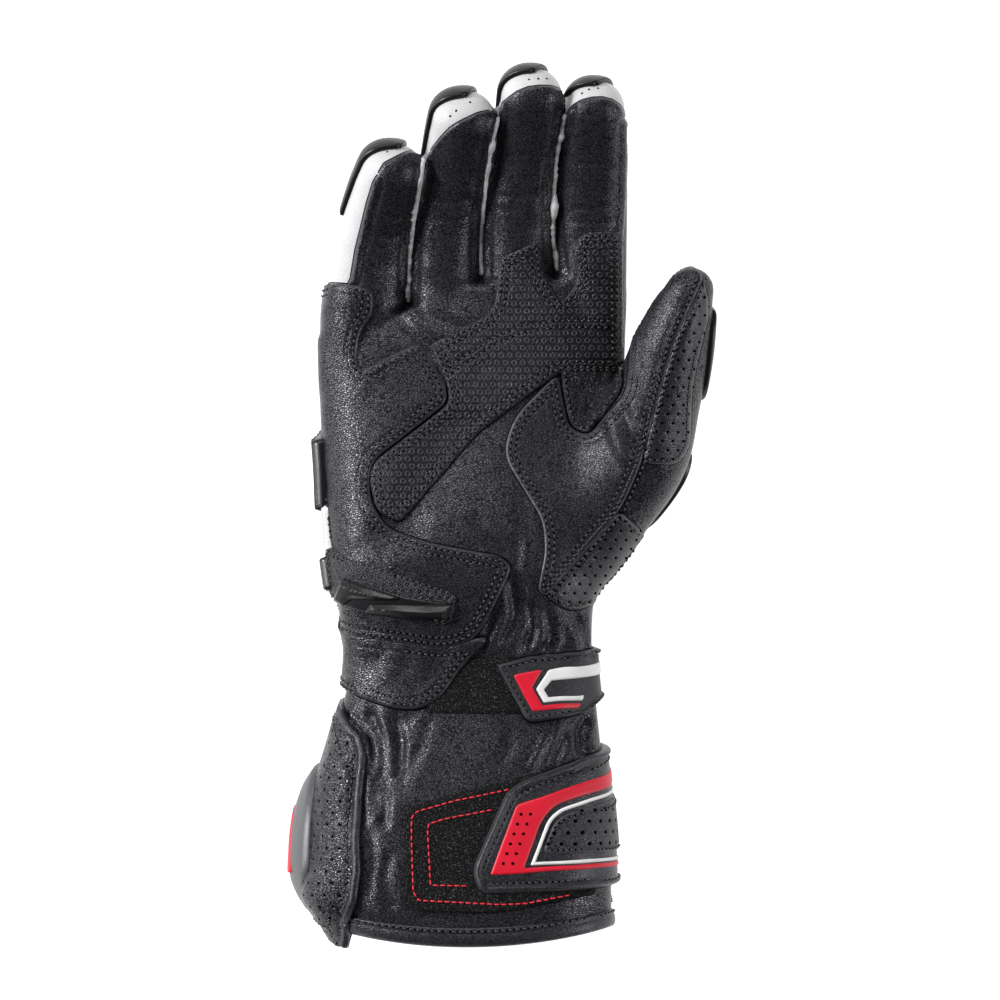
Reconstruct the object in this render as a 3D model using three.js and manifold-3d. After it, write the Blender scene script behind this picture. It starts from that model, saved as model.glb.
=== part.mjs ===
// Right-hand motorcycle racing glove, lying on its back with the palm up.
// Frame: X across the palm towards the thumb, Y from the cuff's mouth to the fingertips,
// Z up out of the palm, and the floor at Z = 0. Millimetres.
//
// The glove is a leather wall over one hand form. The hand form is a lofted trunk (cuff, wrist
// and palm) joined to five lofted digits. Sewn-on pieces are layers of the same form, grown
// outwards and cut to their outlines.
import * as THREE from 'three';
import { mergeVertices } from 'three/addons/utils/BufferGeometryUtils.js';
import Module from 'manifold-3d';

const wasm = await Module();
wasm.setup();

// Driving sizes.
const WALL = 2.0; // leather and lining together
const GAP = 0.3; // clearance between neighbouring pieces
const PANEL = 1.2; // thickness of a sewn-on leather panel
const FLOOR = 0; // height of the surface that the glove lies on
const HIGH = 90; // above everything
const SPLIT = 27; // height of the seam between palm and back on the trunk
const THUMB_EDGE_X = 44.3; // the palm leather ends here beside the thumb
const SLAB_Y = 64; // the fingers' seams follow the fingers from here on
const LITTLE_SIDE_Y = 75; // the little finger's white side starts here
const CUFF_SEAM_Y = -60.4; // seam between hand and cuff, under the wrist strap
const HEM = 6.5; // width of the cuff's binding
const PIPING_R = 1.7; // radius of the rolled piping

const PALM_SIDES = 14; // facets round the palm half of the trunk
const BACK_SIDES = 6; // facets round its back half
const DIGIT_SIDES = 10;
const DOME_STEPS = 2;
const SHARP = 4.5; // outline corners under this radius stay sharp

// Sections of the trunk: edges in X and heights of the back and the palm in Z.
const TRUNK = [
  { y: -150, left: -55, right: 37.5, back: 7, palm: 54 },
  { y: -136, left: -63.5, right: 37.5, back: 6, palm: 56 },
  { y: -118, left: -64.5, right: 37, back: 6, palm: 56 },
  { y: -99, left: -62.5, right: 35.5, back: 7, palm: 54 },
  { y: -84, left: -59, right: 34, back: 8, palm: 51 },
  { y: -70, left: -54.5, right: 32.5, back: 9, palm: 48 },
  { y: -55, left: -52, right: 31, back: 10, palm: 47 },
  { y: -40, left: -53.5, right: 31, back: 10, palm: 50 },
  { y: -25, left: -56, right: 33, back: 9.5, palm: 53 },
  { y: -8, left: -58, right: 38, back: 9, palm: 52.5 },
  { y: 12, left: -59, right: 40.5, back: 9, palm: 48 },
  { y: 32, left: -60.5, right: 41.5, back: 9, palm: 44.5 },
  { y: 55, left: -61.5, right: 42.3, back: 10.5, palm: 41 },
  { y: 79, left: -61, right: 43, back: 13, palm: 37.5 },
];
const STATIONS = [-150.5, -128, -106, -92, -80, -70, -60, -50, -38, -18, 16, 50, 80];
const TRUNK_SQUARE = 2.5; // exponent of the section: 2 is an ellipse
const WEB = { y: 79, middle: 12, curve: 0.006 }; // the curved line of the finger crotches
const MOUTH = { y: -150, middle: -12, curve: 0.0026 }; // the curved line of the cuff's mouth
const END_FACETS = 7; // facets of those lines

// Gathers and dents in the palm side of the trunk, running along Y.
const GATHERS = [
  { x: -45, lean: 0.08, from: -112, to: -66, width: 3.6, depth: 2.6 },
  { x: -32, lean: 0.2, from: -104, to: -68, width: 4.2, depth: 2.4 },
  { x: 25, lean: -0.1, from: -92, to: -64, width: 4, depth: 2.6 },
  { x: 9, lean: 0, from: -60, to: -26, width: 4.6, depth: 2.2 },
  { x: 23, lean: 0.2, from: -60, to: -34, width: 4, depth: 2.4 },
  { x: -12, lean: 0.5, from: -20, to: 34, width: 10, depth: 3 },
];

// Centre line and half sizes of each digit, from inside the trunk to the centre of the tip.
// roll turns the pad towards the thumb, in degrees.
const DIGITS = {
  little: {
    roll: 26,
    tip: 9.2,
    steps: 3,
    rows: [
      { x: -46.6, y: 45, z: 25, wide: 12.6, deep: 12.2 },
      { x: -46.9, y: 62, z: 25.5, wide: 13.6, deep: 12.6 },
      { x: -45.4, y: 78, z: 27.5, wide: 13.2, deep: 12 },
      { x: -43, y: 92, z: 31.5, wide: 12.4, deep: 11.3 },
      { x: -39.4, y: 105, z: 38.5, wide: 11.6, deep: 10.6 },
      { x: -36.8, y: 113, z: 45, wide: 10.8, deep: 9.8 },
    ],
  },
  ring: {
    roll: 16,
    tip: 9.4,
    steps: 3,
    rows: [
      { x: -19.6, y: 58, z: 24.8, wide: 11.5, deep: 12.8 },
      { x: -19.4, y: 74, z: 25.5, wide: 11.8, deep: 12.3 },
      { x: -18.7, y: 96, z: 30, wide: 11.1, deep: 11.7 },
      { x: -15, y: 115, z: 38.5, wide: 11.3, deep: 11.1 },
      { x: -13.3, y: 125, z: 46, wide: 11.2, deep: 10.4 },
      { x: -12.7, y: 130.5, z: 51.5, wide: 10.6, deep: 9.6 },
    ],
  },
  middle: {
    roll: 6,
    tip: 9.8,
    steps: 3,
    rows: [
      { x: 5.4, y: 60, z: 24.5, wide: 12, deep: 12.8 },
      { x: 5.6, y: 80, z: 25.8, wide: 12.3, deep: 12.3 },
      { x: 6, y: 100, z: 30, wide: 12.2, deep: 11.9 },
      { x: 8.3, y: 120, z: 38.5, wide: 10.9, deep: 11.4 },
      { x: 9.9, y: 131, z: 46.5, wide: 10.7, deep: 10.6 },
      { x: 10.3, y: 137.8, z: 52.5, wide: 10.4, deep: 9.8 },
    ],
  },
  index: {
    roll: 0,
    tip: 9.4,
    steps: 3,
    rows: [
      { x: 30.6, y: 60, z: 24.6, wide: 11, deep: 12.2 },
      { x: 30.8, y: 72, z: 25, wide: 11.8, deep: 12.3 },
      { x: 30.9, y: 86, z: 27, wide: 11.9, deep: 11.9 },
      { x: 31, y: 102, z: 31, wide: 11.9, deep: 11.5 },
      { x: 31.2, y: 118, z: 38.5, wide: 11.5, deep: 11 },
      { x: 31.6, y: 128, z: 45.5, wide: 10.8, deep: 10.2 },
      { x: 31.8, y: 134, z: 51, wide: 10, deep: 9.5 },
    ],
  },
  thumb: {
    roll: -30,
    tip: 9,
    steps: 4,
    rows: [
      { x: 4, y: -36, z: 28, wide: 12, deep: 13 },
      { x: 22, y: -15, z: 29.5, wide: 18.3, deep: 16.5 },
      { x: 36, y: 2, z: 33, wide: 17.6, deep: 17 },
      { x: 46, y: 18, z: 37.5, wide: 18, deep: 16.5 },
      { x: 52.4, y: 35, z: 43, wide: 15, deep: 14.6 },
      { x: 57.4, y: 52, z: 48.5, wide: 12.8, deep: 13 },
      { x: 61.6, y: 65, z: 53, wide: 9.6, deep: 10.6 },
      { x: 63.8, y: 71, z: 55, wide: 7.4, deep: 8.6 },
    ],
  },
};
const THUMB_GUARDS = [
  { name: 'thumb_tip_guard', from: 38, to: 68, rise: 1.8, top: -4 },
  { name: 'thumb_joint_guard', from: -1, to: 22, rise: 3, top: -7 },
];
const NAIL_LENGTH = 16; // half the length of a nail guard
const NAIL_TOP = -6; // its edge towards the pad, from the finger's centre line
const NAIL_RISE = 2.6;
const KNUCKLE_RISE = 4.5;
const KNOB_RISE = 4;
const PLATE_RISE = 9.2;
const KNUCKLE = { x: -8, y: 34, z: 11, wide: 48, long: 21, high: 12.5 };
const PLATE = { x: -42, y: -112, z: 20, wide: 32, long: 27, high: 40, top: 34 };
const FINGERS = ['little', 'ring', 'middle', 'index'];
const PAD_SEAM = 1.6; // height of a finger's front seam above its centre line
const BACK_SEAM = -4; // height of its back seam
const TIP_FRONT = 36; // the white tip reaches this far round to the pad, in degrees
const TIP_BACK = -24; // and this far round to the nail

// Outlines in the XY plane: corners as [x, y, radius of the corner].
const OUTLINES = {
  heelPanel: [
    [-72, 76, 0], [-50.8, 74.6, 3], [-43.7, 72.6, 5], [-43.7, 65.1, 4], [-48.5, 58.3, 4],
    [-49.1, 48.8, 2], [-47.4, 44.7, 3], [-27.7, 54.9, 4], [-18.9, 40, 3], [-18.5, 34.5, 4],
    [-44, 14.1, 5], [-44.7, 1.2, 6], [-39.3, -8.3, 5], [-26, -13.1, 8], [-0.5, -17.9, 5],
    [3.6, -21.2, 4], [-2.6, -34.5, 6], [-9.4, -46.4, 6], [-19.6, -49.5, 6], [-53.6, -44.7, 3],
    [-72, -40, 0],
  ],
  gripPanel: [
    [-24.3, 53.9, 2], [-2.2, 65.1, 6], [-0.5, 83.5, 3], [13.1, 89.6, 2], [14.1, 77.4, 4],
    [20.6, 67.8, 6], [26.4, 76, 4], [24.7, 86.2, 3], [27.4, 92, 3], [40.5, 92.7, 2],
    [41, 44.7, 2], [20.6, 45.1, 4], [13.1, 40, 10], [-8, 24.3, 5], [-34.5, -6.3, 2],
    [-42.3, -2.9, 4], [-44.7, 8, 5], [-43.4, 13.8, 4], [-17.5, 34.2, 3], [-18.5, 40.6, 3],
  ],
  webPatch: [
    [19.9, 44.2, 2], [22.3, 31.1, 4], [28.1, 23.6, 4], [32.8, 28.4, 4], [37, 35, 3],
    [38, 44.2, 1],
  ],
  thenar: [
    [17.5, 42.7, 4], [4.2, 29.1, 10], [0.5, 16.5, 8], [14.1, -5.6, 8], [15.1, -15.8, 6],
    [12.4, -29.4, 4], [15.1, -31.5, 2], [34, -9.5, 8], [43, 8, 4], [36, 30, 4], [28.1, 23.6, 4],
    [22.3, 31.1, 4], [20.6, 42.7, 2],
  ],
  ventLower: [
    [16.1, -31.2, 2], [34, -10, 2], [43, -14, 2], [47, -26, 3], [35.5, -32.8, 6],
    [23.3, -36.6, 8],
  ],
  ventUpper: [
    [67.5, 70, 2], [60, 56.6, 8], [53.4, 31.8, 8], [49.5, 15, 3], [58, 14.1, 4],
    [63.4, 20.6, 5], [63, 40.3, 8], [69, 60, 5],
  ],
  sliderBed: [
    [-72, -13, 0], [-52.2, -17.9, 3], [-14.8, -30.1, 3], [-16.8, -39.6, 3], [-19.9, -41, 3],
    [-54.2, -33.5, 3], [-72, -30, 0],
  ],
  sliderPlate: [
    [-54.5, -31.4, 0], [-51.4, -24.9, 0], [-33.5, -30.4, 0], [-17.4, -32.6, 0],
    [-20.4, -38.2, 0], [-44, -35, 0],
  ],
  sliderUpperBlade: [
    [-53, -30.2, 0], [-51, -25.4, 0], [-33.6, -30.7, 0], [-30.8, -32.2, 0], [-42, -31.6, 0],
    [-48, -32.4, 0],
  ],
  sliderLowerBlade: [
    [-45, -34.8, 0], [-42.5, -33.1, 0], [-18.1, -33.5, 0], [-20.8, -37.7, 0], [-44, -35, 0],
  ],
  wristFlap: [
    [-72, -38, 0], [-53.6, -44.4, 3], [-19.6, -49.2, 6], [-9.4, -46.1, 4], [-4.6, -45.1, 2],
    [-14.1, -55.9, 5], [-20.2, -65.5, 9], [-27.7, -69.9, 8], [-36.6, -69.5, 8],
    [-52, -64, 4], [-72, -60, 0],
  ],
  wristLoop: [[-26, -53.2, 0], [8.3, -52.9, 1], [9.7, -70.9, 1], [-26, -70.6, 0]],
  wristStrap: [
    [-1.5, -53.6, 2], [34.2, -49.5, 1], [60, -47.5, 0], [60, -65, 0], [35.2, -65.5, 3],
    [26.4, -72.2, 5], [9.7, -74.6, 3],
  ],
  wristBadge: [
    [4.5, -55.4, 1], [32, -52.4, 1], [32, -64, 1], [25, -69, 2], [12.5, -70.5, 1],
  ],
  cuffLoop: [
    [-32.1, -103.5, 2], [-20.9, -100.1, 2], [28, -87.5, 2], [30, -133, 2], [-1.2, -138, 6],
    [-28.7, -137, 4], [-32.5, -134.1, 3],
  ],
  cuffStrap: [
    [60, -80, 0], [34.9, -85.6, 6], [10.7, -94.2, 8], [3.4, -98, 8], [-8.2, -124, 7],
    [-5.8, -130, 5], [19.9, -129.4, 5], [60, -126.6, 0],
  ],
  cuffBadge: [
    [3.6, -103.5, 1], [11.4, -100.5, 1], [26.4, -95.7, 2], [38.5, -92.5, 0],
    [38.5, -123.4, 0], [-4.2, -125.6, 1],
  ],
  sideFlap: [
    [-75, -61, 0], [-53.5, -69, 0], [-54.5, -73, 0], [-49.4, -82.1, 0], [-49.4, -92, 0],
    [-51.6, -114.4, 0], [-49.9, -127, 0], [-55.5, -145.4, 0], [-75, -145.4, 0],
  ],
  knuckleGuard: [
    [-75, -1, 0], [-75, 24, 0], [-58, 36, 4], [-40, 46, 6], [-16, 52, 6], [14, 54, 6],
    [33, 50, 4], [34, 33, 4], [10, 31, 8], [-22, 26, 8], [-44, 8, 6],
  ],
  backPanel: [
    [-75, -16, 0], [-75, -2, 0], [-44.6, 7, 6], [-22.4, 25, 8], [9.8, 30, 8], [31, 31.6, 4],
    [26, 8, 8], [-4, -10, 10], [-30, -17, 6],
  ],
  wristKnob: [[-75, -31, 0], [-75, -17.5, 0], [-54, -20, 2], [-38, -22, 4], [-40, -31, 4]],
};
const FLAP_EDGE = [
  [-50.6, -66], [-52.2, -72.6], [-47.3, -82.1], [-47.2, -92], [-49.4, -114.4], [-47.8, -127],
  [-53.2, -145.2],
];

// Geometry helpers.

// A closed body from a three.js geometry, its shared corners merged and its faces out.
function solid(geometry, tolerance = 1e-4) {
  const bare = geometry.clone();
  bare.deleteAttribute('normal');
  bare.deleteAttribute('uv');
  const merged = mergeVertices(bare, tolerance);
  const triVerts = new Uint32Array(merged.index.array);
  const make = () => new wasm.Manifold(new wasm.Mesh({
    numProp: 3,
    vertProperties: merged.attributes.position.array,
    triVerts,
  }));
  const first = make();
  if (first.volume() > 0) return first;
  for (let i = 0; i < triVerts.length; i += 3) {
    [triVerts[i], triVerts[i + 1]] = [triVerts[i + 1], triVerts[i]];
  }
  return make();
}

function geometryOf(body) {
  const mesh = body.getMesh();
  const geometry = new THREE.BufferGeometry();
  geometry.setAttribute('position', new THREE.BufferAttribute(mesh.vertProperties, 3));
  geometry.setIndex(new THREE.BufferAttribute(mesh.triVerts, 1));
  geometry.computeVertexNormals();
  return geometry;
}

const smoothstep = THREE.MathUtils.smoothstep;

// The value of a table's column at a distance along its key column, on a smooth curve.
function column(rows, key, name, at) {
  const last = rows.length - 1;
  let i = 0;
  while (i < last - 1 && rows[i + 1][key] < at) i += 1;
  const slope = (k) => {
    const a = rows[Math.max(k - 1, 0)];
    const b = rows[Math.min(k + 1, last)];
    return (b[name] - a[name]) / (b[key] - a[key]);
  };
  const span = rows[i + 1][key] - rows[i][key];
  const t = THREE.MathUtils.clamp((at - rows[i][key]) / span, 0, 1);
  const t2 = t * t;
  const t3 = t2 * t;
  return (2 * t3 - 3 * t2 + 1) * rows[i][name] + (t3 - 2 * t2 + t) * span * slope(i)
    + (3 * t2 - 2 * t3) * rows[i + 1][name] + (t3 - t2) * span * slope(i + 1);
}

// A body through rings with the same number of points, closed by a fan at each end.
function loft(rings) {
  const count = rings[0].length;
  const points = rings.flat();
  const index = [];
  for (let r = 0; r < rings.length - 1; r += 1) {
    for (let i = 0; i < count; i += 1) {
      const a = r * count + i;
      const b = r * count + ((i + 1) % count);
      index.push(a, b, b + count, a, b + count, a + count);
    }
  }
  [0, rings.length - 1].forEach((r) => {
    const centre = new THREE.Vector3();
    rings[r].forEach((p) => centre.addScaledVector(p, 1 / count));
    points.push(centre);
    for (let i = 0; i < count; i += 1) {
      const a = r * count + i;
      const b = r * count + ((i + 1) % count);
      index.push(...(r === 0 ? [b, a, points.length - 1] : [a, b, points.length - 1]));
    }
  });
  const geometry = new THREE.BufferGeometry().setFromPoints(points);
  geometry.setIndex(index);
  return solid(geometry);
}

// Points of a superellipse round a centre, in the plane of two unit vectors.
function ring(centre, side, up, wide, deep, square, turns) {
  const power = 2 / square;
  const rounded = (v) => Math.sign(v) * Math.abs(v) ** power;
  return turns.map((turn) => {
    return centre.clone()
      .addScaledVector(side, wide * rounded(Math.cos(turn)))
      .addScaledVector(up, deep * rounded(Math.sin(turn)));
  });
}

// The turns of a ring's points, with more of them over its upper half.
function ringTurns(upper, lower) {
  return [
    ...Array.from({ length: upper }, (_, i) => (Math.PI * i) / upper),
    ...Array.from({ length: lower }, (_, i) => Math.PI + (Math.PI * i) / lower),
  ];
}
const TRUNK_TURNS = ringTurns(PALM_SIDES, BACK_SIDES);
const DIGIT_TURNS = ringTurns(DIGIT_SIDES / 2, DIGIT_SIDES / 2);
const LINING_TURNS = ringTurns(DIGIT_SIDES / 2 - 1, DIGIT_SIDES / 2 - 1);

// How far the gathers sink the palm's surface at a point.
function gathered(x, y) {
  return GATHERS.reduce((sum, g) => {
    const middle = g.x + g.lean * (y - g.to);
    const fade = smoothstep(y, g.from, g.from + 12) * (1 - smoothstep(y, g.to - 8, g.to));
    return sum + g.depth * fade * Math.exp(-(((x - middle) / g.width) ** 2));
  }, 0);
}

// A section in the XZ plane with its points moved outwards, square to its sides.
function grown(section, grow) {
  const normal = (a, b) => new THREE.Vector3(b.z - a.z, 0, a.x - b.x).normalize();
  return section.map((p, i) => {
    const before = normal(section.at(i - 1), p);
    const after = normal(p, section[(i + 1) % section.length]);
    return p.clone().addScaledVector(before.clone().add(after), grow / (1 + before.dot(after)));
  });
}

// The section of the trunk at a distance along Y.
function trunkSection(y, grow) {
  const at = (name) => column(TRUNK, 'y', name, y);
  const centre = new THREE.Vector3((at('left') + at('right')) / 2, y, (at('back') + at('palm')) / 2);
  const section = ring(
    centre, new THREE.Vector3(1, 0, 0), new THREE.Vector3(0, 0, 1), (at('right') - at('left')) / 2,
    (at('palm') - at('back')) / 2, TRUNK_SQUARE, TRUNK_TURNS,
  );
  section.forEach((p) => { p.z -= gathered(p.x, y) * smoothstep(p.z, SPLIT, SPLIT + 12); });
  return grown(section, grow);
}

// The point over the trunk's palm side at a place in XY.
function onPalm(x, y, above) {
  const section = trunkSection(y, above).slice(0, PALM_SIDES + 1);
  const i = section.findIndex((p, k) => k > 0 && p.x <= x);
  const t = (x - section[i - 1].x) / (section[i].x - section[i - 1].x);
  return new THREE.Vector3(x, y, THREE.MathUtils.lerp(section[i - 1].z, section[i].z, t));
}

// The trunk, grown outwards and cut to its curved ends. It can reach past the cuff's mouth
// and past the finger crotches.
function trunk(grow, reach = 0, past = 0) {
  const rings = STATIONS.map((y) => trunkSection(y, grow));
  rings[0].forEach((p) => { p.y -= reach; });
  const edges = Array.from(
    { length: END_FACETS + 1 },
    (_, i) => THREE.MathUtils.lerp(-80, 60, i / END_FACETS),
  );
  const webEnd = (x) => WEB.y - WEB.curve * (x - WEB.middle) ** 2 + past;
  const mouthEnd = (x) => MOUTH.y + MOUTH.curve * (x - MOUTH.middle) ** 2 - reach;
  const outline = [
    ...edges.map((x) => [x, mouthEnd(x), 0]),
    ...edges.toReversed().map((x) => [x, webEnd(x), 0]),
  ];
  return loft(rings).intersect(prism(outline, -20, HIGH));
}

// The frame of a digit at one row: a unit vector along it, one to its side and one to its pad.
function digitFrame(digit, at) {
  const { rows, roll } = digit;
  const place = (t) => new THREE.Vector3(
    column(rows, 'y', 'x', t), t, column(rows, 'y', 'z', t),
  );
  const along = place(at + 0.5).sub(place(at - 0.5)).normalize();
  if (at + 0.5 > rows.at(-1).y) along.copy(place(rows.at(-1).y)).sub(place(rows.at(-1).y - 1)).normalize();
  const side = new THREE.Vector3().crossVectors(along, new THREE.Vector3(0, 0, 1)).normalize();
  const pad = new THREE.Vector3().crossVectors(side, along);
  const turn = THREE.MathUtils.degToRad(roll) * smoothstep(at, rows[0].y, rows.at(-1).y);
  const rolledSide = side.clone().multiplyScalar(Math.cos(turn)).addScaledVector(pad, -Math.sin(turn));
  const rolledPad = pad.clone().multiplyScalar(Math.cos(turn)).addScaledVector(side, Math.sin(turn));
  return { centre: place(at), along, side: rolledSide, pad: rolledPad };
}

// Evenly spaced stations along a digit's table.
function digitStations(digit) {
  const from = digit.rows[0].y;
  const to = digit.rows.at(-1).y;
  const { steps } = digit;
  return Array.from({ length: steps + 1 }, (_, i) => THREE.MathUtils.lerp(from, to, i / steps));
}

// A digit with a domed tip, grown outwards.
function digitBody(name, grow) {
  const digit = DIGITS[name];
  const turns = grow < 0 ? LINING_TURNS : DIGIT_TURNS;
  const rings = digitStations(digit).map((y) => {
    const { centre, side, pad } = digitFrame(digit, y);
    const wide = column(digit.rows, 'y', 'wide', y) + grow;
    const deep = column(digit.rows, 'y', 'deep', y) + grow;
    return ring(centre, side, pad, wide, deep, 2.3, turns);
  });
  const end = digit.rows.at(-1);
  const { centre, along, side, pad } = digitFrame(digit, end.y);
  for (let step = 1; step <= DOME_STEPS; step += 1) {
    const turn = (Math.PI / 2) * (step / (DOME_STEPS + 0.6));
    const middle = centre.clone().addScaledVector(along, Math.sin(turn) * (digit.tip + grow));
    const shrink = Math.cos(turn);
    rings.push(ring(
      middle, side, pad, (end.wide + grow) * shrink, (end.deep + grow) * shrink, 2.2, turns,
    ));
  }
  return loft(rings);
}

// A slab that follows a digit from a start in Y, from one height over its centre line to
// another. It ends at the last row, or runs past the tip.
function digitSlab(name, low, high, start, past = 30) {
  const digit = DIGITS[name];
  const reach = 26;
  const end = digit.rows.at(-1).y;
  const stations = [start, ...digitStations(digit).filter((y) => y > start + 3)];
  if (past !== 0) stations.push(end + past);
  const rings = stations.map((y) => {
    const inside = Math.min(y, end);
    const { centre, along, side, pad } = digitFrame(digit, inside);
    centre.addScaledVector(along, y - inside);
    return [[reach, low], [reach, high], [-reach, high], [-reach, low]]
      .map(([s, p]) => centre.clone().addScaledVector(side, s).addScaledVector(pad, p));
  });
  return loft(rings);
}

// The region of a tip: it starts over the finger's side strips and widens outwards.
function tipRegion(name, gap) {
  const digit = DIGITS[name];
  const { centre, along, side, pad } = digitFrame(digit, digit.rows.at(-1).y);
  const reach = 30;
  const slope = (turn) => Math.tan(THREE.MathUtils.degToRad(turn)) * reach;
  const corners = [
    [-gap, BACK_SEAM - gap],
    [reach, BACK_SEAM - gap + slope(TIP_BACK)],
    [reach, PAD_SEAM + gap + slope(TIP_FRONT)],
    [-gap, PAD_SEAM + gap],
  ].map(([a, p]) => centre.clone().addScaledVector(along, a).addScaledVector(pad, p));
  const rings = [reach, -reach].map((s) => corners.map((p) => p.clone().addScaledVector(side, s)));
  return digitBody(name, 1).intersect(loft(rings));
}

// A prism along Z over an outline with rounded corners, grown or shrunk by a clearance.
function prism(corners, low, high, grow = 0) {
  const count = corners.length;
  const turned = THREE.ShapeUtils.isClockWise(corners.map(([x, y]) => new THREE.Vector2(x, y)));
  const list = turned ? [...corners].reverse() : corners;
  const at = (k) => new THREE.Vector2(list[(k + count) % count][0], list[(k + count) % count][1]);
  const outward = (a, b) => new THREE.Vector2(b.y - a.y, a.x - b.x).normalize();
  const moved = list.map((corner, i) => {
    const n1 = outward(at(i - 1), at(i));
    const n2 = outward(at(i), at(i + 1));
    return at(i).addScaledVector(n1.clone().add(n2), grow / (1 + n1.dot(n2)));
  });
  const shape = new THREE.Shape();
  moved.forEach((corner, i) => {
    const before = moved[(i + count - 1) % count].clone().sub(corner);
    const after = moved[(i + 1) % count].clone().sub(corner);
    const radius = list[i][2] < SHARP ? 0 : list[i][2];
    const cut = Math.min(radius, before.length() * 0.45, after.length() * 0.45);
    const start = corner.clone().addScaledVector(before.normalize(), cut);
    const end = corner.clone().addScaledVector(after.normalize(), cut);
    if (i === 0) shape.moveTo(start.x, start.y);
    else shape.lineTo(start.x, start.y);
    if (cut > 0) shape.quadraticCurveTo(corner.x, corner.y, end.x, end.y);
  });
  const settings = { depth: high - low, bevelEnabled: false, curveSegments: 2 };
  const geometry = new THREE.ExtrudeGeometry(shape, settings);
  geometry.translate(0, 0, low);
  return solid(geometry);
}

function box(x0, x1, y0, y1, z0, z1) {
  const geometry = new THREE.BoxGeometry(x1 - x0, y1 - y0, z1 - z0);
  geometry.translate((x0 + x1) / 2, (y0 + y1) / 2, (z0 + z1) / 2);
  return solid(geometry);
}

// A tube through a list of points.
function tube(points, radius, sides) {
  const rings = points.map((p, i) => {
    const after = points[Math.min(i + 1, points.length - 1)];
    const before = points[Math.max(i - 1, 0)];
    const along = after.clone().sub(before).normalize();
    const side = new THREE.Vector3().crossVectors(along, new THREE.Vector3(0, 0, 1)).normalize();
    const up = new THREE.Vector3().crossVectors(side, along);
    return ring(p, side, up, radius, radius, 2, ringTurns(sides / 2, sides / 2));
  });
  return loft(rings);
}

// The whole hand form, grown outwards. Each growth is worked out once.
const forms = new Map();
function form(grow, longer = 0) {
  const key = `${grow} ${longer}`;
  if (!forms.has(key)) {
    const start = trunk(grow, longer, longer);
    forms.set(key, Object.keys(DIGITS).reduce((sum, name) => sum.add(digitBody(name, grow)), start));
  }
  return forms.get(key);
}

// A layer of the hand form between two growths.
function skin(inner, outer) {
  return form(outer).subtract(form(inner, 1));
}

// A layer cut to an outline and a range of heights.
function layer(corners, inner, outer, low, high) {
  return skin(inner, outer).intersect(prism(corners, low, high));
}

// A guard over a fingertip's nail side, thick in the middle.
function nailGuard(name) {
  const digit = DIGITS[name];
  const low = -reachOf(digit);
  const { centre, along, side, pad } = digitFrame(digit, digit.rows.at(-1).y);
  const corners = [
    [-NAIL_LENGTH, low],
    [NAIL_LENGTH, low],
    [NAIL_LENGTH, NAIL_TOP - 6],
    [0, NAIL_TOP],
    [-NAIL_LENGTH, NAIL_TOP - 3],
  ].map(([a, p]) => centre.clone().addScaledVector(along, a).addScaledVector(pad, p));
  const rings = [-low, low].map((s) => corners.map((p) => p.clone().addScaledVector(side, s)));
  return digitBody(name, NAIL_RISE).subtract(digitBody(name, GAP)).intersect(loft(rings));
}

function reachOf(digit) {
  return digit.rows.at(-1).wide + 12;
}

// A squashed ball.
function ball(x, y, z, wide, long, high) {
  const geometry = new THREE.SphereGeometry(1, 12, 8);
  geometry.rotateX(Math.PI / 2);
  geometry.scale(wide, long, high);
  geometry.translate(x, y, z);
  return solid(geometry);
}

// Assembly helpers.
const glove = new THREE.Group();
const materials = {};
function material(name, color, roughness, metalness = 0) {
  materials[name] = new THREE.MeshStandardMaterial({ name, color, roughness, metalness });
}
material('black_leather', 0x17171a, 0.5);
material('grip_leather', 0x1b1b1e, 0.75);
material('white_leather', 0xe9e9ea, 0.55);
material('hard_black', 0x232427, 0.35);
material('hard_grey', 0x4a4b4e, 0.45);
material('loop_fabric', 0x111113, 0.95);
material('rubber_red', 0xc8141f, 0.45);

// Adds a piece. Crumbs that a cut leaves beside the main body are dropped.
function add(name, body, look) {
  const largest = (b) => b.decompose().reduce((a, c) => (c.volume() > a.volume() ? c : a));
  const main = largest(solid(geometryOf(largest(body)), 1e-3));
  const mesh = new THREE.Mesh(geometryOf(main), materials[look]);
  mesh.name = name;
  glove.add(mesh);
  return main;
}

// Takes the part of a wall that lies in a region, and returns it with what is left.
function carve(wall, region, regionAndGap) {
  return [wall.intersect(region), wall.subtract(regionAndGap)];
}

// The leather wall of the whole glove.
const inner = Object.keys(DIGITS).reduce(
  (sum, name) => sum.add(digitBody(name, -WALL)),
  trunk(-WALL, 8, -WALL),
);
let wall = form(0).subtract(inner);

// Fingertip pieces between pad and nail.
FINGERS.forEach((name) => {
  const [tip, rest] = carve(wall, tipRegion(name, 0), tipRegion(name, GAP));
  wall = rest;
  add(`${name}_tip`, tip, 'white_leather');
});

// The cuff, behind a seam that the wrist strap and its patch cover.
const [cuff, hand] = carve(
  wall,
  box(-90, 90, -170, CUFF_SEAM_Y, -20, HIGH),
  box(-90, 90, -170, CUFF_SEAM_Y + GAP, -20, HIGH),
);
add('cuff_leather', cuff, 'black_leather');
wall = hand;

// The thumb's front leather with the ball of the thumb.
function thumbFront(gap) {
  return digitBody('thumb', 1 + gap)
    .intersect(digitSlab('thumb', 0 - gap, 40, DIGITS.thumb.rows[0].y))
    .intersect(box(36 - gap, 100, -60, 120, 0, HIGH))
    .add(prism(OUTLINES.thenar, SPLIT + 3 - gap, HIGH, gap));
}
const [thumbFrontWall, withoutThumbFront] = carve(wall, thumbFront(0), thumbFront(GAP));
wall = withoutThumbFront;
add('thenar_panel', thumbFrontWall, 'black_leather');

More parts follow.
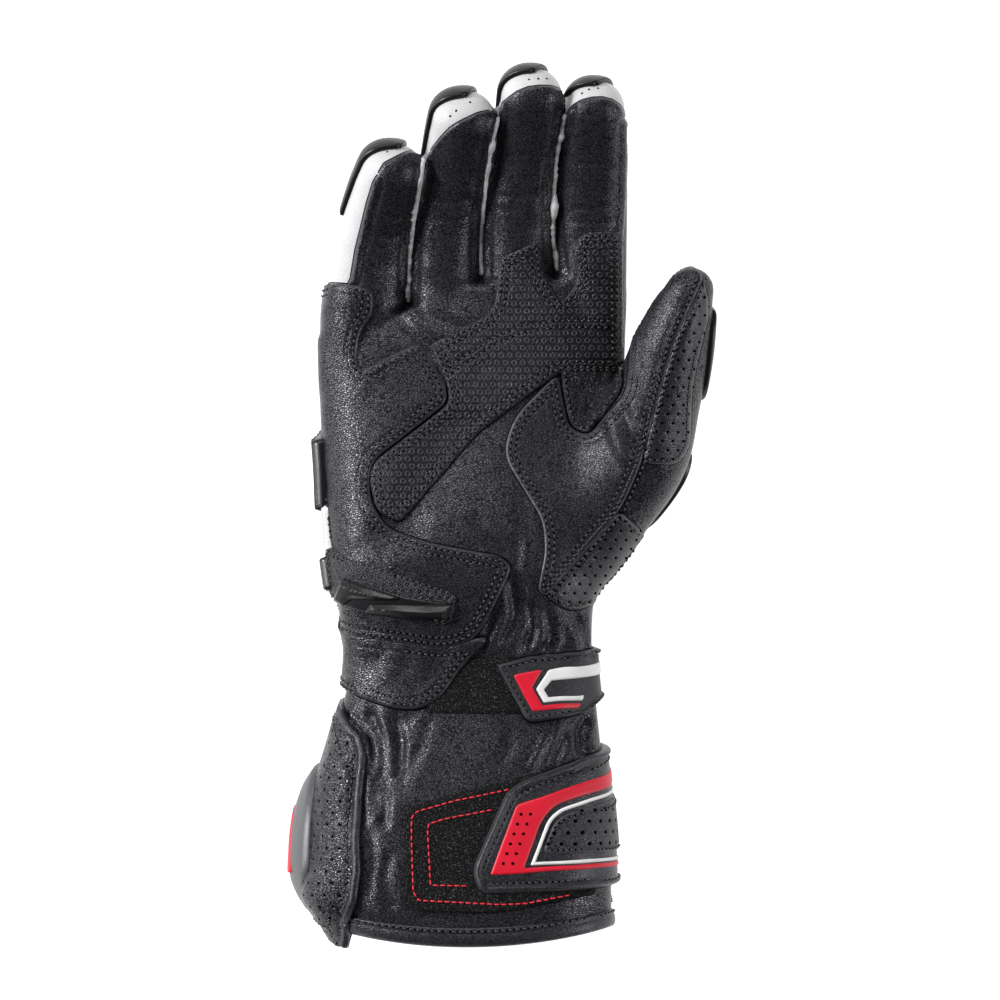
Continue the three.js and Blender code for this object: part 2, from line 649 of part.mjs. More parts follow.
// The palm leather with the fronts of four fingers.
function palmSide(gap) {
  const palm = form(1)
    .intersect(box(-90, 90, -80, SLAB_Y, SPLIT - gap, HIGH))
    .subtract(digitBody('thumb', 2).intersect(box(THUMB_EDGE_X + gap, 100, -60, 120, 0, HIGH)));
  const web = trunk(1, 0, gap).intersect(box(-90, 90, 40, 90, SPLIT - gap, HIGH));
  return FINGERS.reduce(
    (sum, name) => sum.add(digitBody(name, 1).intersect(digitSlab(name, PAD_SEAM - gap, 40, SLAB_Y - 0.5))),
    palm.add(web),
  );
}
const [palmWall, withoutPalm] = carve(wall, palmSide(0), palmSide(GAP));
wall = withoutPalm;
add('palm_leather', palmWall, 'black_leather');

// The white outer side of the little finger, then the back leather with what is left.
function littleSide(gap) {
  return digitBody('little', 1)
    .intersect(digitSlab('little', BACK_SEAM - gap, PAD_SEAM + 1, SLAB_Y, gap))
    .intersect(box(-90, -45, LITTLE_SIDE_Y - gap, 160, 0, HIGH));
}
const [littleWall, backWall] = carve(wall, littleSide(0), littleSide(GAP));
wall = backWall;
add('little_side', littleWall, 'white_leather');
add('back_leather', wall, 'black_leather');

// Sewn-on palm panels. Each later panel stops short of the earlier ones.
const OVER = GAP + PANEL;
const bedHole = prism(OUTLINES.sliderBed, 0, HIGH, GAP);
const heelArea = (gap) => prism(OUTLINES.heelPanel, SPLIT - 1 - gap, HIGH, gap);
add('heel_panel', skin(GAP, OVER).intersect(heelArea(0)).subtract(bedHole), 'black_leather');
add('slider_bed', layer(OUTLINES.sliderBed, GAP, OVER - 0.4, 26, HIGH), 'grip_leather');
add(
  'palm_slider',
  layer(OUTLINES.sliderPlate, OVER - 0.1, OVER + 1.4, 26, HIGH)
    .add(layer(OUTLINES.sliderUpperBlade, OVER + 1, OVER + 3.6, 26, HIGH))
    .add(layer(OUTLINES.sliderLowerBlade, OVER + 1, OVER + 3.6, 26, HIGH)),
  'hard_black',
);
add(
  'grip_panel',
  layer(OUTLINES.gripPanel, GAP, OVER, SPLIT + 2, HIGH).subtract(heelArea(GAP)),
  'grip_leather',
);
add(
  'web_patch',
  layer(OUTLINES.webPatch, GAP, OVER, SPLIT + 4, HIGH)
    .subtract(prism(OUTLINES.gripPanel, 0, HIGH, GAP)),
  'grip_leather',
);
add('thumb_vent_lower', layer(OUTLINES.ventLower, GAP, OVER, 22, HIGH), 'black_leather');
add('thumb_vent_upper', layer(OUTLINES.ventUpper, GAP, OVER, 30, HIGH), 'black_leather');

// Wrist: flap, loop patch and closing strap with its badge.
add(
  'wrist_flap',
  skin(GAP, OVER)
    .intersect(prism(OUTLINES.wristFlap, 22, HIGH, 0))
    .subtract(heelArea(GAP)),
  'black_leather',
);
add(
  'wrist_loop_patch',
  layer(OUTLINES.wristLoop, GAP, OVER - 0.2, SPLIT, HIGH)
    .subtract(prism(OUTLINES.wristFlap, 0, HIGH, GAP)),
  'loop_fabric',
);
const STRAP = OVER + 1.8;
add('wrist_strap', layer(OUTLINES.wristStrap, OVER, STRAP, -20, HIGH), 'black_leather');
add(
  'wrist_strap_badge',
  layer(OUTLINES.wristBadge, STRAP + GAP, STRAP + 1.2, SPLIT + 6, HIGH),
  'rubber_red',
);

// Cuff: hem binding, side flap with piping, loop patch, closing strap and its badge.
const flapHole = prism(OUTLINES.sideFlap, 10 - GAP, HIGH, 2 * PIPING_R + 2.5 * GAP);
const hemLine = [
  ...[-75, -45, -12, 15, 45].map((x) => [x, MOUTH.y + HEM + MOUTH.curve * (x - MOUTH.middle) ** 2, 0]),
  [45, -170, 0], [-75, -170, 0],
];
add(
  'hem_binding',
  skin(GAP, OVER).intersect(prism(hemLine, -20, HIGH)).subtract(flapHole),
  'black_leather',
);
add(
  'cuff_side_flap',
  skin(GAP, OVER + 0.3).intersect(prism(OUTLINES.sideFlap, 10, HIGH)),
  'black_leather',
);
const pipingRoute = FLAP_EDGE.map(([x, y]) => onPalm(x, y, PIPING_R + 2 * GAP));
add('flap_piping', tube(pipingRoute, PIPING_R, 6), 'black_leather');
add('cuff_loop_patch', layer(OUTLINES.cuffLoop, GAP, OVER - 0.2, SPLIT, HIGH), 'loop_fabric');
add('cuff_strap', layer(OUTLINES.cuffStrap, OVER, STRAP, -20, HIGH), 'black_leather');
add('cuff_badge', layer(OUTLINES.cuffBadge, STRAP + GAP, STRAP + 1.2, SPLIT + 2, HIGH), 'rubber_red');

// Fingertip guards on the nails, over the seam between tip and back.
FINGERS.forEach((name) => {
  add(`${name}_nail`, nailGuard(name), 'hard_black');
});

// Guards on the thumb's back.
THUMB_GUARDS.forEach(({ name, from, to, rise, top }) => {
  const guard = digitBody('thumb', rise).subtract(form(GAP, 1))
    .intersect(digitSlab('thumb', -30, top, from, 0))
    .intersect(box(0, 90, -60, to, 0, HIGH));
  add(name, guard, 'hard_black');
});

// Hard pieces on the back. They carry the glove where it lies.
const aboveFloor = (low, high) => box(-90, 90, -170, 160, FLOOR + low, high);
const knuckles = ball(KNUCKLE.x, KNUCKLE.y, KNUCKLE.z, KNUCKLE.wide, KNUCKLE.long, KNUCKLE.high)
  .subtract(form(GAP))
  .add(skin(GAP, KNUCKLE_RISE))
  .intersect(prism(OUTLINES.knuckleGuard, FLOOR, SPLIT - 2));
add('knuckle_guard', knuckles, 'hard_black');
add(
  'back_panel',
  skin(GAP, OVER).intersect(prism(OUTLINES.backPanel, FLOOR, SPLIT - 2)),
  'white_leather',
);
add(
  'wrist_knob_guard',
  skin(GAP, KNOB_RISE).intersect(prism(OUTLINES.wristKnob, FLOOR, SPLIT - 4)),
  'hard_black',
);
add(
  'cuff_plate',
  skin(OVER + 0.3 + GAP, PLATE_RISE)
    .intersect(ball(PLATE.x, PLATE.y, PLATE.z, PLATE.wide, PLATE.long, PLATE.high))
    .intersect(aboveFloor(0, PLATE.top)),
  'hard_grey',
);

export default glove;
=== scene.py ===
"""Looks of the right-hand racing glove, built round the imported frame.

Lengths are millimetres until a mesh is made. Places come from the hand form, which is the one the
solids follow: a lofted trunk and five lofted digits. Flat places are x and y from the palm's side,
and past the trunk's edge they go on as length round it.
"""
import math

import bpy
import numpy as np
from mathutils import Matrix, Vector
from mathutils.bvhtree import BVHTree


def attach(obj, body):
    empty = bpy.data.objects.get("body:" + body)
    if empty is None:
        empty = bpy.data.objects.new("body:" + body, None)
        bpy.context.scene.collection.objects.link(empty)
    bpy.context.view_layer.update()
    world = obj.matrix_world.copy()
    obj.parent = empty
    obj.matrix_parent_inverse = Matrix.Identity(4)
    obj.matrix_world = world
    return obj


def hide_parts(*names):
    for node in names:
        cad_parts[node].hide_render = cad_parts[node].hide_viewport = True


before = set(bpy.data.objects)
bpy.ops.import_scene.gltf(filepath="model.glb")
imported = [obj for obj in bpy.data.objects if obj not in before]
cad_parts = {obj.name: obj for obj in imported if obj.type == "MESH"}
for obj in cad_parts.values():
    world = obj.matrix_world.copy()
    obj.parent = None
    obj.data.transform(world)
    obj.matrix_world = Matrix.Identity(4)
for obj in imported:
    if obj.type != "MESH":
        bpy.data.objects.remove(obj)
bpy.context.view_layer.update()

MM = 0.001
ROUND = 2 * math.pi

# Flat places are kept with the mesh at this scale, for looks that follow the uncut leather.
FLAT_SCALE = 0.01

# The trunk's sections: y, left, right, back, palm.
TRUNK = np.array([
    (-150, -55, 37.5, 7, 54), (-136, -63.5, 37.5, 6, 56), (-118, -64.5, 37, 6, 56),
    (-99, -62.5, 35.5, 7, 54), (-84, -59, 34, 8, 51), (-70, -54.5, 32.5, 9, 48),
    (-55, -52, 31, 10, 47), (-40, -53.5, 31, 10, 50), (-25, -56, 33, 9.5, 53),
    (-8, -58, 38, 9, 52.5), (12, -59, 40.5, 9, 48), (32, -60.5, 41.5, 9, 44.5),
    (55, -61.5, 42.3, 10.5, 41), (79, -61, 43, 13, 37.5),
])
LEFT, RIGHT, BACK, PALM = 1, 2, 3, 4
TRUNK_SQUARE, DIGIT_SQUARE, TIP_SQUARE = 2.5, 2.3, 2.2
WEB = {"y": 79, "middle": 12, "curve": 0.006}
MOUTH = {"y": -150, "middle": -12, "curve": 0.0026}

# Digits: roll, length of the domed tip, and sections as y, x, z, half width, half depth.
DIGITS = {
    "little": (26, 9.2, [
        (45, -46.6, 25, 12.6, 12.2), (62, -46.9, 25.5, 13.6, 12.6), (78, -45.4, 27.5, 13.2, 12),
        (92, -43, 31.5, 12.4, 11.3), (105, -39.4, 38.5, 11.6, 10.6), (113, -36.8, 45, 10.8, 9.8),
    ]),
    "ring": (16, 9.4, [
        (58, -19.6, 24.8, 11.5, 12.8), (74, -19.4, 25.5, 11.8, 12.3), (96, -18.7, 30, 11.1, 11.7),
        (115, -15, 38.5, 11.3, 11.1), (125, -13.3, 46, 11.2, 10.4), (130.5, -12.7, 51.5, 10.6, 9.6),
    ]),
    "middle": (6, 9.8, [
        (60, 5.4, 24.5, 12, 12.8), (80, 5.6, 25.8, 12.3, 12.3), (100, 6, 30, 12.2, 11.9),
        (120, 8.3, 38.5, 10.9, 11.4), (131, 9.9, 46.5, 10.7, 10.6), (137.8, 10.3, 52.5, 10.4, 9.8),
    ]),
    "index": (0, 9.4, [
        (60, 30.6, 24.6, 11, 12.2), (72, 30.8, 25, 11.8, 12.3), (86, 30.9, 27, 11.9, 11.9),
        (102, 31, 31, 11.9, 11.5), (118, 31.2, 38.5, 11.5, 11), (128, 31.6, 45.5, 10.8, 10.2),
        (134, 31.8, 51, 10, 9.5),
    ]),
    "thumb": (-30, 9, [
        (-36, 4, 28, 12, 13), (-15, 22, 29.5, 18.3, 16.5), (2, 36, 33, 17.6, 17),
        (18, 46, 37.5, 18, 16.5), (35, 52.4, 43, 15, 14.6), (52, 57.4, 48.5, 12.8, 13),
        (65, 61.6, 53, 9.6, 10.6), (71, 63.8, 55, 7.4, 8.6),
    ]),
}
FINGERS = ("little", "ring", "middle", "index")

# Gathers in the palm's side: x, lean, from y, to y, width, depth. They fade between two heights.
GATHERS = [
    (-45, 0.08, -112, -66, 3.6, 2.6), (-32, 0.2, -104, -68, 4.2, 2.4), (25, -0.1, -92, -64, 4, 2.6),
    (9, 0, -60, -26, 4.6, 2.2), (23, 0.2, -60, -34, 4, 2.4), (-12, 0.5, -20, 34, 10, 3),
]
GATHER_LOW, GATHER_HIGH = 27, 39

# Folds in the palm's side: polyline, width, depth. All are spread a little, end over FOLD_END
# and have a raised shoulder on each side, as shares of the width and the depth.
FOLD_SPREAD, FOLD_END = 1.25, 5
SHOULDER_AWAY, SHOULDER_RISE = 1.9, 0.35
FOLDS = [
    ([(-40, 70), (-30, 58), (-16, 48), (-2, 44)], 1.8, 0.8),
    ([(-36, 74), (-26, 64), (-10, 58)], 1.5, 0.6),
    ([(-12, -2), (-2, -14), (3, -24)], 1.8, 0.8),
    ([(6, 2), (9, -12), (8, -26)], 1.6, 0.8),
    ([(3, -24), (5, -38), (0, -50)], 1.4, 1.3),
    ([(9, -32), (11, -42), (8, -52)], 1.2, 1.0),
    ([(15, -34), (17, -46), (13, -54)], 1.3, 1.2),
    ([(24, -36), (29, -46), (30, -56)], 1.5, 1.3),
    ([(-2, -36), (-5, -46), (-9, -52)], 1.2, 1.0),
    ([(31, -70), (26, -78), (28, -88)], 1.4, 1.3),
    ([(24, -73), (21, -80), (17, -90)], 1.3, 1.1),
    ([(16, -76), (13, -84), (9, -92)], 1.3, 0.9),
    ([(-52, -70), (-46, -80), (-42, -92), (-43, -106)], 1.5, 1.4),
    ([(-46, -69), (-41, -80), (-39, -96), (-40, -112)], 1.4, 1.3),
    ([(-37, -70), (-34, -82), (-35, -96)], 1.3, 1.2),
    ([(-24, -71), (-27, -82), (-33, -94)], 1.6, 0.7),
    ([(2, -74), (3, -82), (-1, -90)], 1.5, 0.6),
    ([(-38, -116), (-40, -128), (-36, -140)], 1.6, 0.7),
    ([(-45, -108), (-43, -120), (-45, -134)], 1.3, 0.6),
    ([(-30, -139), (-18, -140), (-4, -139)], 1.4, 0.4),
    ([(40, 34), (44, 26), (48, 14)], 2.4, 1.0),
    ([(46, 38), (50, 30), (53, 22)], 1.8, 0.6),
    ([(36, 35), (39.5, 22), (45, 12)], 1.8, -1.2),
]
FINGER_FOLDS = [
    ([(23, 116), (31, 115), (39, 116.5)], 0.8, 0.28), ([(22, 101), (31, 100), (40, 102)], 0.9, 0.3),
    ([(22, 96), (32, 95), (39, 97)], 0.8, 0.22), ([(-1, 119), (7, 118), (14, 120)], 0.8, 0.26),
    ([(-3, 105), (6, 104), (14, 106)], 0.9, 0.28), ([(-4, 100), (5, 99.5), (12, 101)], 0.8, 0.2),
    ([(-24, 103), (-16, 102), (-9, 104.5)], 0.9, 0.34), ([(-24, 97), (-17, 96), (-10, 98)], 0.8, 0.26),
    ([(-45, 92), (-38, 90), (-33, 92)], 0.8, 0.24), ([(-43, 98), (-37, 97), (-32, 98)], 0.8, 0.2),
]


def column(rows, index, at):
    """A table's column at distances along its first column, on a smooth curve."""
    rows = np.asarray(rows, float)
    key, value = rows[:, 0], rows[:, index]
    before = np.maximum(np.arange(len(key)) - 1, 0)
    after = np.minimum(np.arange(len(key)) + 1, len(key) - 1)
    slope = (value[after] - value[before]) / (key[after] - key[before])
    at = np.asarray(at, float)
    i = np.clip(np.searchsorted(key, at) - 1, 0, len(key) - 2)
    span = key[i + 1] - key[i]
    t = np.clip((at - key[i]) / span, 0, 1)
    return (
        (2 * t**3 - 3 * t**2 + 1) * value[i] + (t**3 - 2 * t**2 + t) * span * slope[i]
        + (3 * t**2 - 2 * t**3) * value[i + 1] + (t**3 - t**2) * span * slope[i + 1]
    )


def smoothstep(value, low, high):
    t = np.clip((value - low) / (high - low), 0, 1)
    return t * t * (3 - 2 * t)


def unit(vectors):
    return vectors / np.maximum(np.linalg.norm(vectors, axis=-1, keepdims=True), 1e-9)


def bell(value, middle, width):
    """1 at the middle, falling off over the width on both sides."""
    return np.exp(-(((value - middle) / width) ** 2))


def superellipse(turn, square):
    c, s = np.cos(turn), np.sin(turn)
    return np.sign(c) * np.abs(c) ** (2 / square), np.sign(s) * np.abs(s) ** (2 / square)


def gathered(x, y):
    """How far the gathers sink the palm's surface."""
    total = np.zeros_like(x)
    for middle, lean, start, end, width, depth in GATHERS:
        fade = smoothstep(y, start, start + 12) * (1 - smoothstep(y, end - 8, end))
        total += depth * fade * np.exp(-(((x - middle - lean * (y - end)) / width) ** 2))
    return total


def mouth_bow(x):
    """How far the cuff's mouth curves away from its lowest place."""
    return MOUTH["curve"] * (x - MOUTH["middle"]) ** 2


def trunk_point(turn, y, bent=True):
    """Points of the trunk's surface at turns round its section, 0 at the thumb's side. Unless bent is
    off, the rows curve along the finger webs and the mouth."""
    turn, y = np.broadcast_arrays(np.asarray(turn, float), np.asarray(y, float))
    left, right, back, palm = (column(TRUNK, i, y) for i in (LEFT, RIGHT, BACK, PALM))
    c, s = superellipse(turn, TRUNK_SQUARE)
    x = (left + right) / 2 + (right - left) / 2 * c
    z = (back + palm) / 2 + (palm - back) / 2 * s
    z = z - gathered(x, y) * smoothstep(z, GATHER_LOW, GATHER_HIGH)
    mouth = mouth_bow(x) * (1 - smoothstep(y, -150, -125))
    web = WEB["curve"] * (x - WEB["middle"]) ** 2 * smoothstep(y, 55, 79)
    return np.stack([x, y + (mouth - web) * bent, z], -1)


def digit_frame(name, at):
    """Centre, along, side and pad direction of a digit at distances along Y."""
    roll, _, rows = DIGITS[name]
    first, last = rows[0][0], rows[-1][0]

    def place(y):
        return np.stack([column(rows, 1, y), np.asarray(y, float), column(rows, 2, y)], -1)

    at = np.asarray(at, float)
    inside = np.minimum(at, last - 0.5)
    along = unit(place(inside + 0.5) - place(inside - 0.5))
    side = unit(np.cross(along, np.broadcast_to([0, 0, 1.0], along.shape)))
    pad = np.cross(side, along)
    turn = (math.radians(roll) * smoothstep(at, first, last))[..., None]
    return (
        place(at), along,
        side * np.cos(turn) - pad * np.sin(turn), pad * np.cos(turn) + side * np.sin(turn),
    )


def digit_point(name, v, turn, grow=0.0):
    """Points of a digit's surface. v runs along it in mm, 0 at its last row and past it over the
    domed tip; turn goes round it, 90 degrees at the pad."""
    _, tip, rows = DIGITS[name]
    last = rows[-1][0]
    v, turn = np.broadcast_arrays(np.asarray(v, float), np.asarray(turn, float))
    at = np.clip(last + np.minimum(v, 0), rows[0][0], last)
    centre, along, side, pad = digit_frame(name, at)
    dome = np.clip(np.maximum(v, 0) / tip, 0, math.pi / 2)
    c, s = superellipse(turn, np.where(v > 0, TIP_SQUARE, DIGIT_SQUARE))
    shrink = np.cos(dome)
    wide = (column(rows, 3, at) + grow) * shrink
    deep = (column(rows, 4, at) + grow) * shrink
    return (
        centre + along * (np.sin(dome) * (tip + grow))[..., None]
        + side * (wide * c)[..., None] + pad * (deep * s)[..., None]
    )


# Meshes and surfaces.

ABOVE_ALL = 150.0


def make_object(name, points, faces, flat=None, smooth=True):
    """An object from points in mm. flat gives each point's place on the uncut leather."""
    mesh = bpy.data.meshes.new(name)
    mesh.from_pydata((np.asarray(points) * MM).tolist(), [], [tuple(f) for f in faces])
    mesh.update()
    mesh.polygons.foreach_set("use_smooth", [smooth] * len(mesh.polygons))
    if flat is not None:
        layer = mesh.uv_layers.new(name="flat")
        index = np.zeros(len(mesh.loops), np.int32)
        mesh.loops.foreach_get("vertex_index", index)
        layer.data.foreach_set("uv", (np.asarray(flat)[index] * FLAT_SCALE).ravel())
    obj = bpy.data.objects.new(name, mesh)
    bpy.context.scene.collection.objects.link(obj)
    return obj


def add_layer(obj, name, values):
    """Gives each point of a mesh a value that its look can read."""
    layer = obj.data.attributes.new(name, "FLOAT", "POINT")
    layer.data.foreach_set("value", values.astype(np.float32))


def finish(obj, look, *nodes, slot=None):
    """Gives a piece its look and the solids that it stands for. Its slot is not used."""
    obj.data.materials.append(look)
    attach(obj, "root")
    if nodes:
        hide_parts(*nodes)
    return obj


def loft_faces(rings, around):
    """Quads between closed rings of points."""
    faces = []
    for r in range(rings - 1):
        for i in range(around):
            a, b = r * around + i, r * around + (i + 1) % around
            faces.append((a, b, b + around, a + around))
    return faces


def closed_loft(rings):
    """Points and faces of a body through rings, closed by a fan at each end."""
    count, around = len(rings), len(rings[0])
    points = np.concatenate([np.concatenate(rings), [rings[0].mean(0), rings[-1].mean(0)]])
    faces = loft_faces(count, around)
    low, high = count * around, count * around + 1
    top_ring = (count - 1) * around
    for i in range(around):
        j = (i + 1) % around
        faces.append((j, i, low))
        faces.append((top_ring + i, top_ring + j, high))
    return points, faces


def vertex_normals(points, tris):
    a, b, c = (points[tris[:, i]] for i in range(3))
    face = np.cross(b - a, c - a)
    normals = np.zeros_like(points)
    for i in range(3):
        np.add.at(normals, tris[:, i], face)
    return unit(normals)


def triangles_of(mesh):
    """Points in mm, triangles and smooth normals of a mesh."""
    mesh.calc_loop_triangles()
    points = np.zeros(len(mesh.vertices) * 3)
    mesh.vertices.foreach_get("co", points)
    tris = np.zeros(len(mesh.loop_triangles) * 3, np.int32)
    mesh.loop_triangles.foreach_get("vertices", tris)
    points, tris = points.reshape(-1, 3) / MM, tris.reshape(-1, 3)
    return points, tris, vertex_normals(points, tris)


class Surface:
    """Something that pieces are laid on."""

    def __init__(self, points, tris, normals):
        self.points, self.tris, self.normals = points, tris, normals
        self.tree = BVHTree.FromPolygons(points.tolist(), tris.tolist())

    def normals_at(self, hits, tri):
        a, b, c = (self.points[self.tris[tri, i]] for i in range(3))
        v0, v1, v2 = b - a, c - a, hits - a
        d00, d01, d11 = (v0 * v0).sum(1), (v0 * v1).sum(1), (v1 * v1).sum(1)
        d20, d21 = (v2 * v0).sum(1), (v2 * v1).sum(1)
        scale = np.maximum(d00 * d11 - d01 * d01, 1e-12)
        v = np.clip((d11 * d20 - d01 * d21) / scale, 0, 1)[:, None]
        w = np.clip((d00 * d21 - d01 * d20) / scale, 0, 1)[:, None]
        n0, n1, n2 = (self.normals[self.tris[tri, i]] for i in range(3))
        return unit(n0 * (1 - v - w) + n1 * v + n2 * w)

    def nearest(self, places):
        found = [self.tree.find_nearest(Vector(p)) for p in places]
        hits = np.array([f[0] for f in found]).reshape(-1, 3)
        return hits, self.normals_at(hits, np.array([f[2] for f in found], int))

    def below(self, xy, face=1):
        """Where a line along Z meets the palm's side, or the back for face -1."""
        way = Vector((0, 0, -face))
        found = [self.tree.ray_cast(Vector((x, y, ABOVE_ALL * face)), way) for x, y in xy]
        hit = np.array([f[0] is not None for f in found])
        hits = np.array([f[0] if f[0] is not None else (0, 0, 0) for f in found]).reshape(-1, 3)
        tri = np.array([f[2] if f[2] is not None else 0 for f in found], int)
        return hit, hits, self.normals_at(hits, tri)


# The base: the whole hand form as one skin.

VOXEL, SMOOTHING = 1.15, 8
RING_STEP = 2.0
AROUND = 96

# The thumb's ball: where and how often the join with the palm is evened out.
THENAR_MIDDLE, THENAR_SIZE = (27, 4), (30, 50)
THENAR_ROUNDS = 90
SKIN_RIPPLE = {"size": 16, "seed": 3}


def hand_form(grow=0.0):
    """One closed body for the trunk and each digit."""
    turns = np.linspace(0, ROUND, AROUND, endpoint=False)
    rings = []
    for y in np.arange(MOUTH["y"] - 12, WEB["y"] + 0.1, RING_STEP):
        ring = trunk_point(turns, y)
        rings.append(ring + unit((ring - ring.mean(0)) * [1, 0, 1]) * grow)
    bodies = [closed_loft(rings)]
    for name, (_, tip, rows) in DIGITS.items():
        length = rows[-1][0] - rows[0][0]
        steps = np.concatenate([np.arange(-length, -0.1, RING_STEP), np.linspace(0, tip * 1.5, 9)])
        bodies.append(closed_loft([digit_point(name, v, turns, grow) for v in steps]))
    return bodies


def merged(bodies):
    points, faces, start = [], [], 0
    for some, their in bodies:
        points.append(some)
        faces += [tuple(i + start for i in f) for f in their]
        start += len(some)
    return np.concatenate(points), faces


def remeshed(bodies, voxel, smoothing):
    """Points, triangles and normals of the bodies' union."""
    obj = make_object("union_work", *merged(bodies))
    remesh = obj.modifiers.new("union", "REMESH")
    remesh.mode = "VOXEL"
    remesh.voxel_size = voxel * MM
    smooth = obj.modifiers.new("smooth", "SMOOTH")
    smooth.factor = 0.5
    smooth.iterations = smoothing
    graph = bpy.context.evaluated_depsgraph_get()
    mesh = bpy.data.meshes.new_from_object(obj.evaluated_get(graph))
    result = triangles_of(mesh)
    bpy.data.objects.remove(obj)
    bpy.data.meshes.remove(mesh)
    return result


def softened(points, tris, weight, rounds):
    """Evens a surface out where the weight is more than 0."""
    a = tris.ravel()
    b = np.roll(tris, -1, 1).ravel()
    count = np.bincount(a, minlength=len(points))[:, None]
    for _ in range(rounds):
        mean = np.stack([np.bincount(a, points[b, i], len(points)) for i in range(3)], -1) / count
        points = points + (mean - points) * 0.6 * weight[:, None]
    return points


def polyline_distance(xy, line):
    """Distance of points to a polyline, how far along it the nearest place is, and its length."""
    best = np.full(len(xy), np.inf)
    along = np.zeros(len(xy))
    run = 0.0
    line = np.asarray(line, float)
    for a, b in zip(line[:-1], line[1:]):
        step = b - a
        length = np.linalg.norm(step)
        t = np.clip(((xy - a) @ step) / length**2, 0, 1)
        d = np.linalg.norm(xy - a - t[:, None] * step, axis=1)
        closer = d < best
        best = np.where(closer, d, best)
        along = np.where(closer, run + t * length, along)
        run += length
    return best, along, run


def crease(xy, line, width, depth):
    """A fold along a polyline: a groove with a raised shoulder on each side."""
    d, along, length = polyline_distance(xy, line)
    fade = smoothstep(along, 0, FOLD_END) * (1 - smoothstep(along, length - FOLD_END, length))
    return fade * depth * (SHOULDER_RISE * bell(d, SHOULDER_AWAY * width, width) - bell(d, 0, width))


def ripple(xy, size, seed, stretch=(1.0, 1.0)):
    """Smooth unevenness from -1 to 1, from a few seeded waves."""
    rng = np.random.default_rng(seed)
    total = np.zeros(len(xy))
    count = 7
    for _ in range(count):
        angle, phase = rng.uniform(0, ROUND, 2)
        wave = ROUND / (size * rng.uniform(0.6, 1.6))
        way = np.array([math.cos(angle) / stretch[0], math.sin(angle) / stretch[1]])
        total += np.sin(xy @ way * wave + phase)
    return total / count * 1.6


def folded_form():
    """The hand form as one surface, even where the thumb joins the palm, with its folds."""
    points, tris, normals = remeshed(hand_form(), VOXEL, SMOOTHING)
    away = np.hypot(*((points[:, :2] - THENAR_MIDDLE) / THENAR_SIZE).T)
    blend = (1 - smoothstep(away, 0.6, 1.0)) * smoothstep(points[:, 2], 26, 34)
    points = softened(points, tris, blend, THENAR_ROUNDS)
    palm_side = smoothstep(vertex_normals(points, tris)[:, 2], 0.1, 0.5)
    sink = np.zeros(len(points))
    for line, width, depth in FOLDS:
        sink += crease(points[:, :2], line, FOLD_SPREAD * width, depth)
    sink += 0.25 * ripple(points[:, :2], **SKIN_RIPPLE)
    points = points + normals * (sink * palm_side)[:, None]
    return Surface(points, tris, vertex_normals(points, tris))


base = folded_form()

# Unrolling the trunk. Near the middle of the palm a flat x is the same x. Beyond DIRECT of the
# half width it goes on as length round the section, so a piece keeps its width where it wraps.
DIRECT = 0.84
NORMAL_STEP = 0.6
UNROLL_STEP = (0.5, 2.0)
UNROLL_X = np.arange(-150.0, 130.0, UNROLL_STEP[0])
UNROLL_Y = np.arange(-160.0, 82.0, UNROLL_STEP[1])
UNROLL_TURNS = 720


def unroll_table(face):
    """The turn round the trunk for each flat x in rows along y."""
    table = np.zeros((len(UNROLL_Y), len(UNROLL_X)))
    turns = np.linspace(-math.pi / 2, 3 * math.pi / 2, UNROLL_TURNS + 1) * face
    index = np.arange(len(turns))
    upper = index[UNROLL_TURNS // 4:3 * UNROLL_TURNS // 4 + 1]
    for row, y in enumerate(UNROLL_Y):
        ring = trunk_point(turns, y, False)
        step = np.linalg.norm(np.diff(ring[:, [0, 2]], axis=0), axis=1)
        length = np.concatenate([[0], np.cumsum(step)])
        left, right = column(TRUNK, LEFT, y), column(TRUNK, RIGHT, y)
        middle, half = (left + right) / 2, (right - left) / 2 * DIRECT
        inside = upper[np.abs(ring[upper, 0] - middle) <= half]
        a, b = inside[0], inside[-1]
        flat = np.where(
            index < a, ring[a, 0] + (length[a] - length),
            np.where(index > b, ring[b, 0] - (length - length[b]), ring[:, 0]),
        )
        table[row] = np.interp(-UNROLL_X, -flat, turns)
    return table


UNROLLED = {1: unroll_table(1), -1: unroll_table(-1)}


def rolled(xy, face):
    """Points of the trunk for flat places."""
    table = UNROLLED[face]
    fx = np.clip((xy[:, 0] - UNROLL_X[0]) / UNROLL_STEP[0], 0, len(UNROLL_X) - 1.001)
    fy = np.clip((xy[:, 1] - UNROLL_Y[0]) / UNROLL_STEP[1], 0, len(UNROLL_Y) - 1.001)
    iy, ix = fy.astype(int), fx.astype(int)
    ty, tx = fy - iy, fx - ix
    turn = (
        table[iy, ix] * (1 - ty) * (1 - tx) + table[iy, ix + 1] * (1 - ty) * tx
        + table[iy + 1, ix] * ty * (1 - tx) + table[iy + 1, ix + 1] * ty * tx
    )
    return trunk_point(turn, xy[:, 1], False)


def trunk_normal(xy, face):
    """The trunk's outward direction at flat places."""
    x_step = rolled(xy + [NORMAL_STEP, 0], face) - rolled(xy - [NORMAL_STEP, 0], face)
    y_step = rolled(xy + [0, NORMAL_STEP], face) - rolled(xy - [0, NORMAL_STEP], face)
    return unit(np.cross(x_step, y_step)) * face


def centre_height(xy):
    """Height of the nearest digit's centre line."""
    best, height = np.full(len(xy), np.inf), np.zeros(len(xy))
    for _, _, rows in DIGITS.values():
        for y in np.arange(rows[0][0] + 4, rows[-1][0] + 6, 3.0):
            d = np.hypot(xy[:, 0] - column(rows, 1, y), xy[:, 1] - y)
            closer = d < best
            best = np.where(closer, d, best)
            height = np.where(closer, column(rows, 2, y), height)
    return height


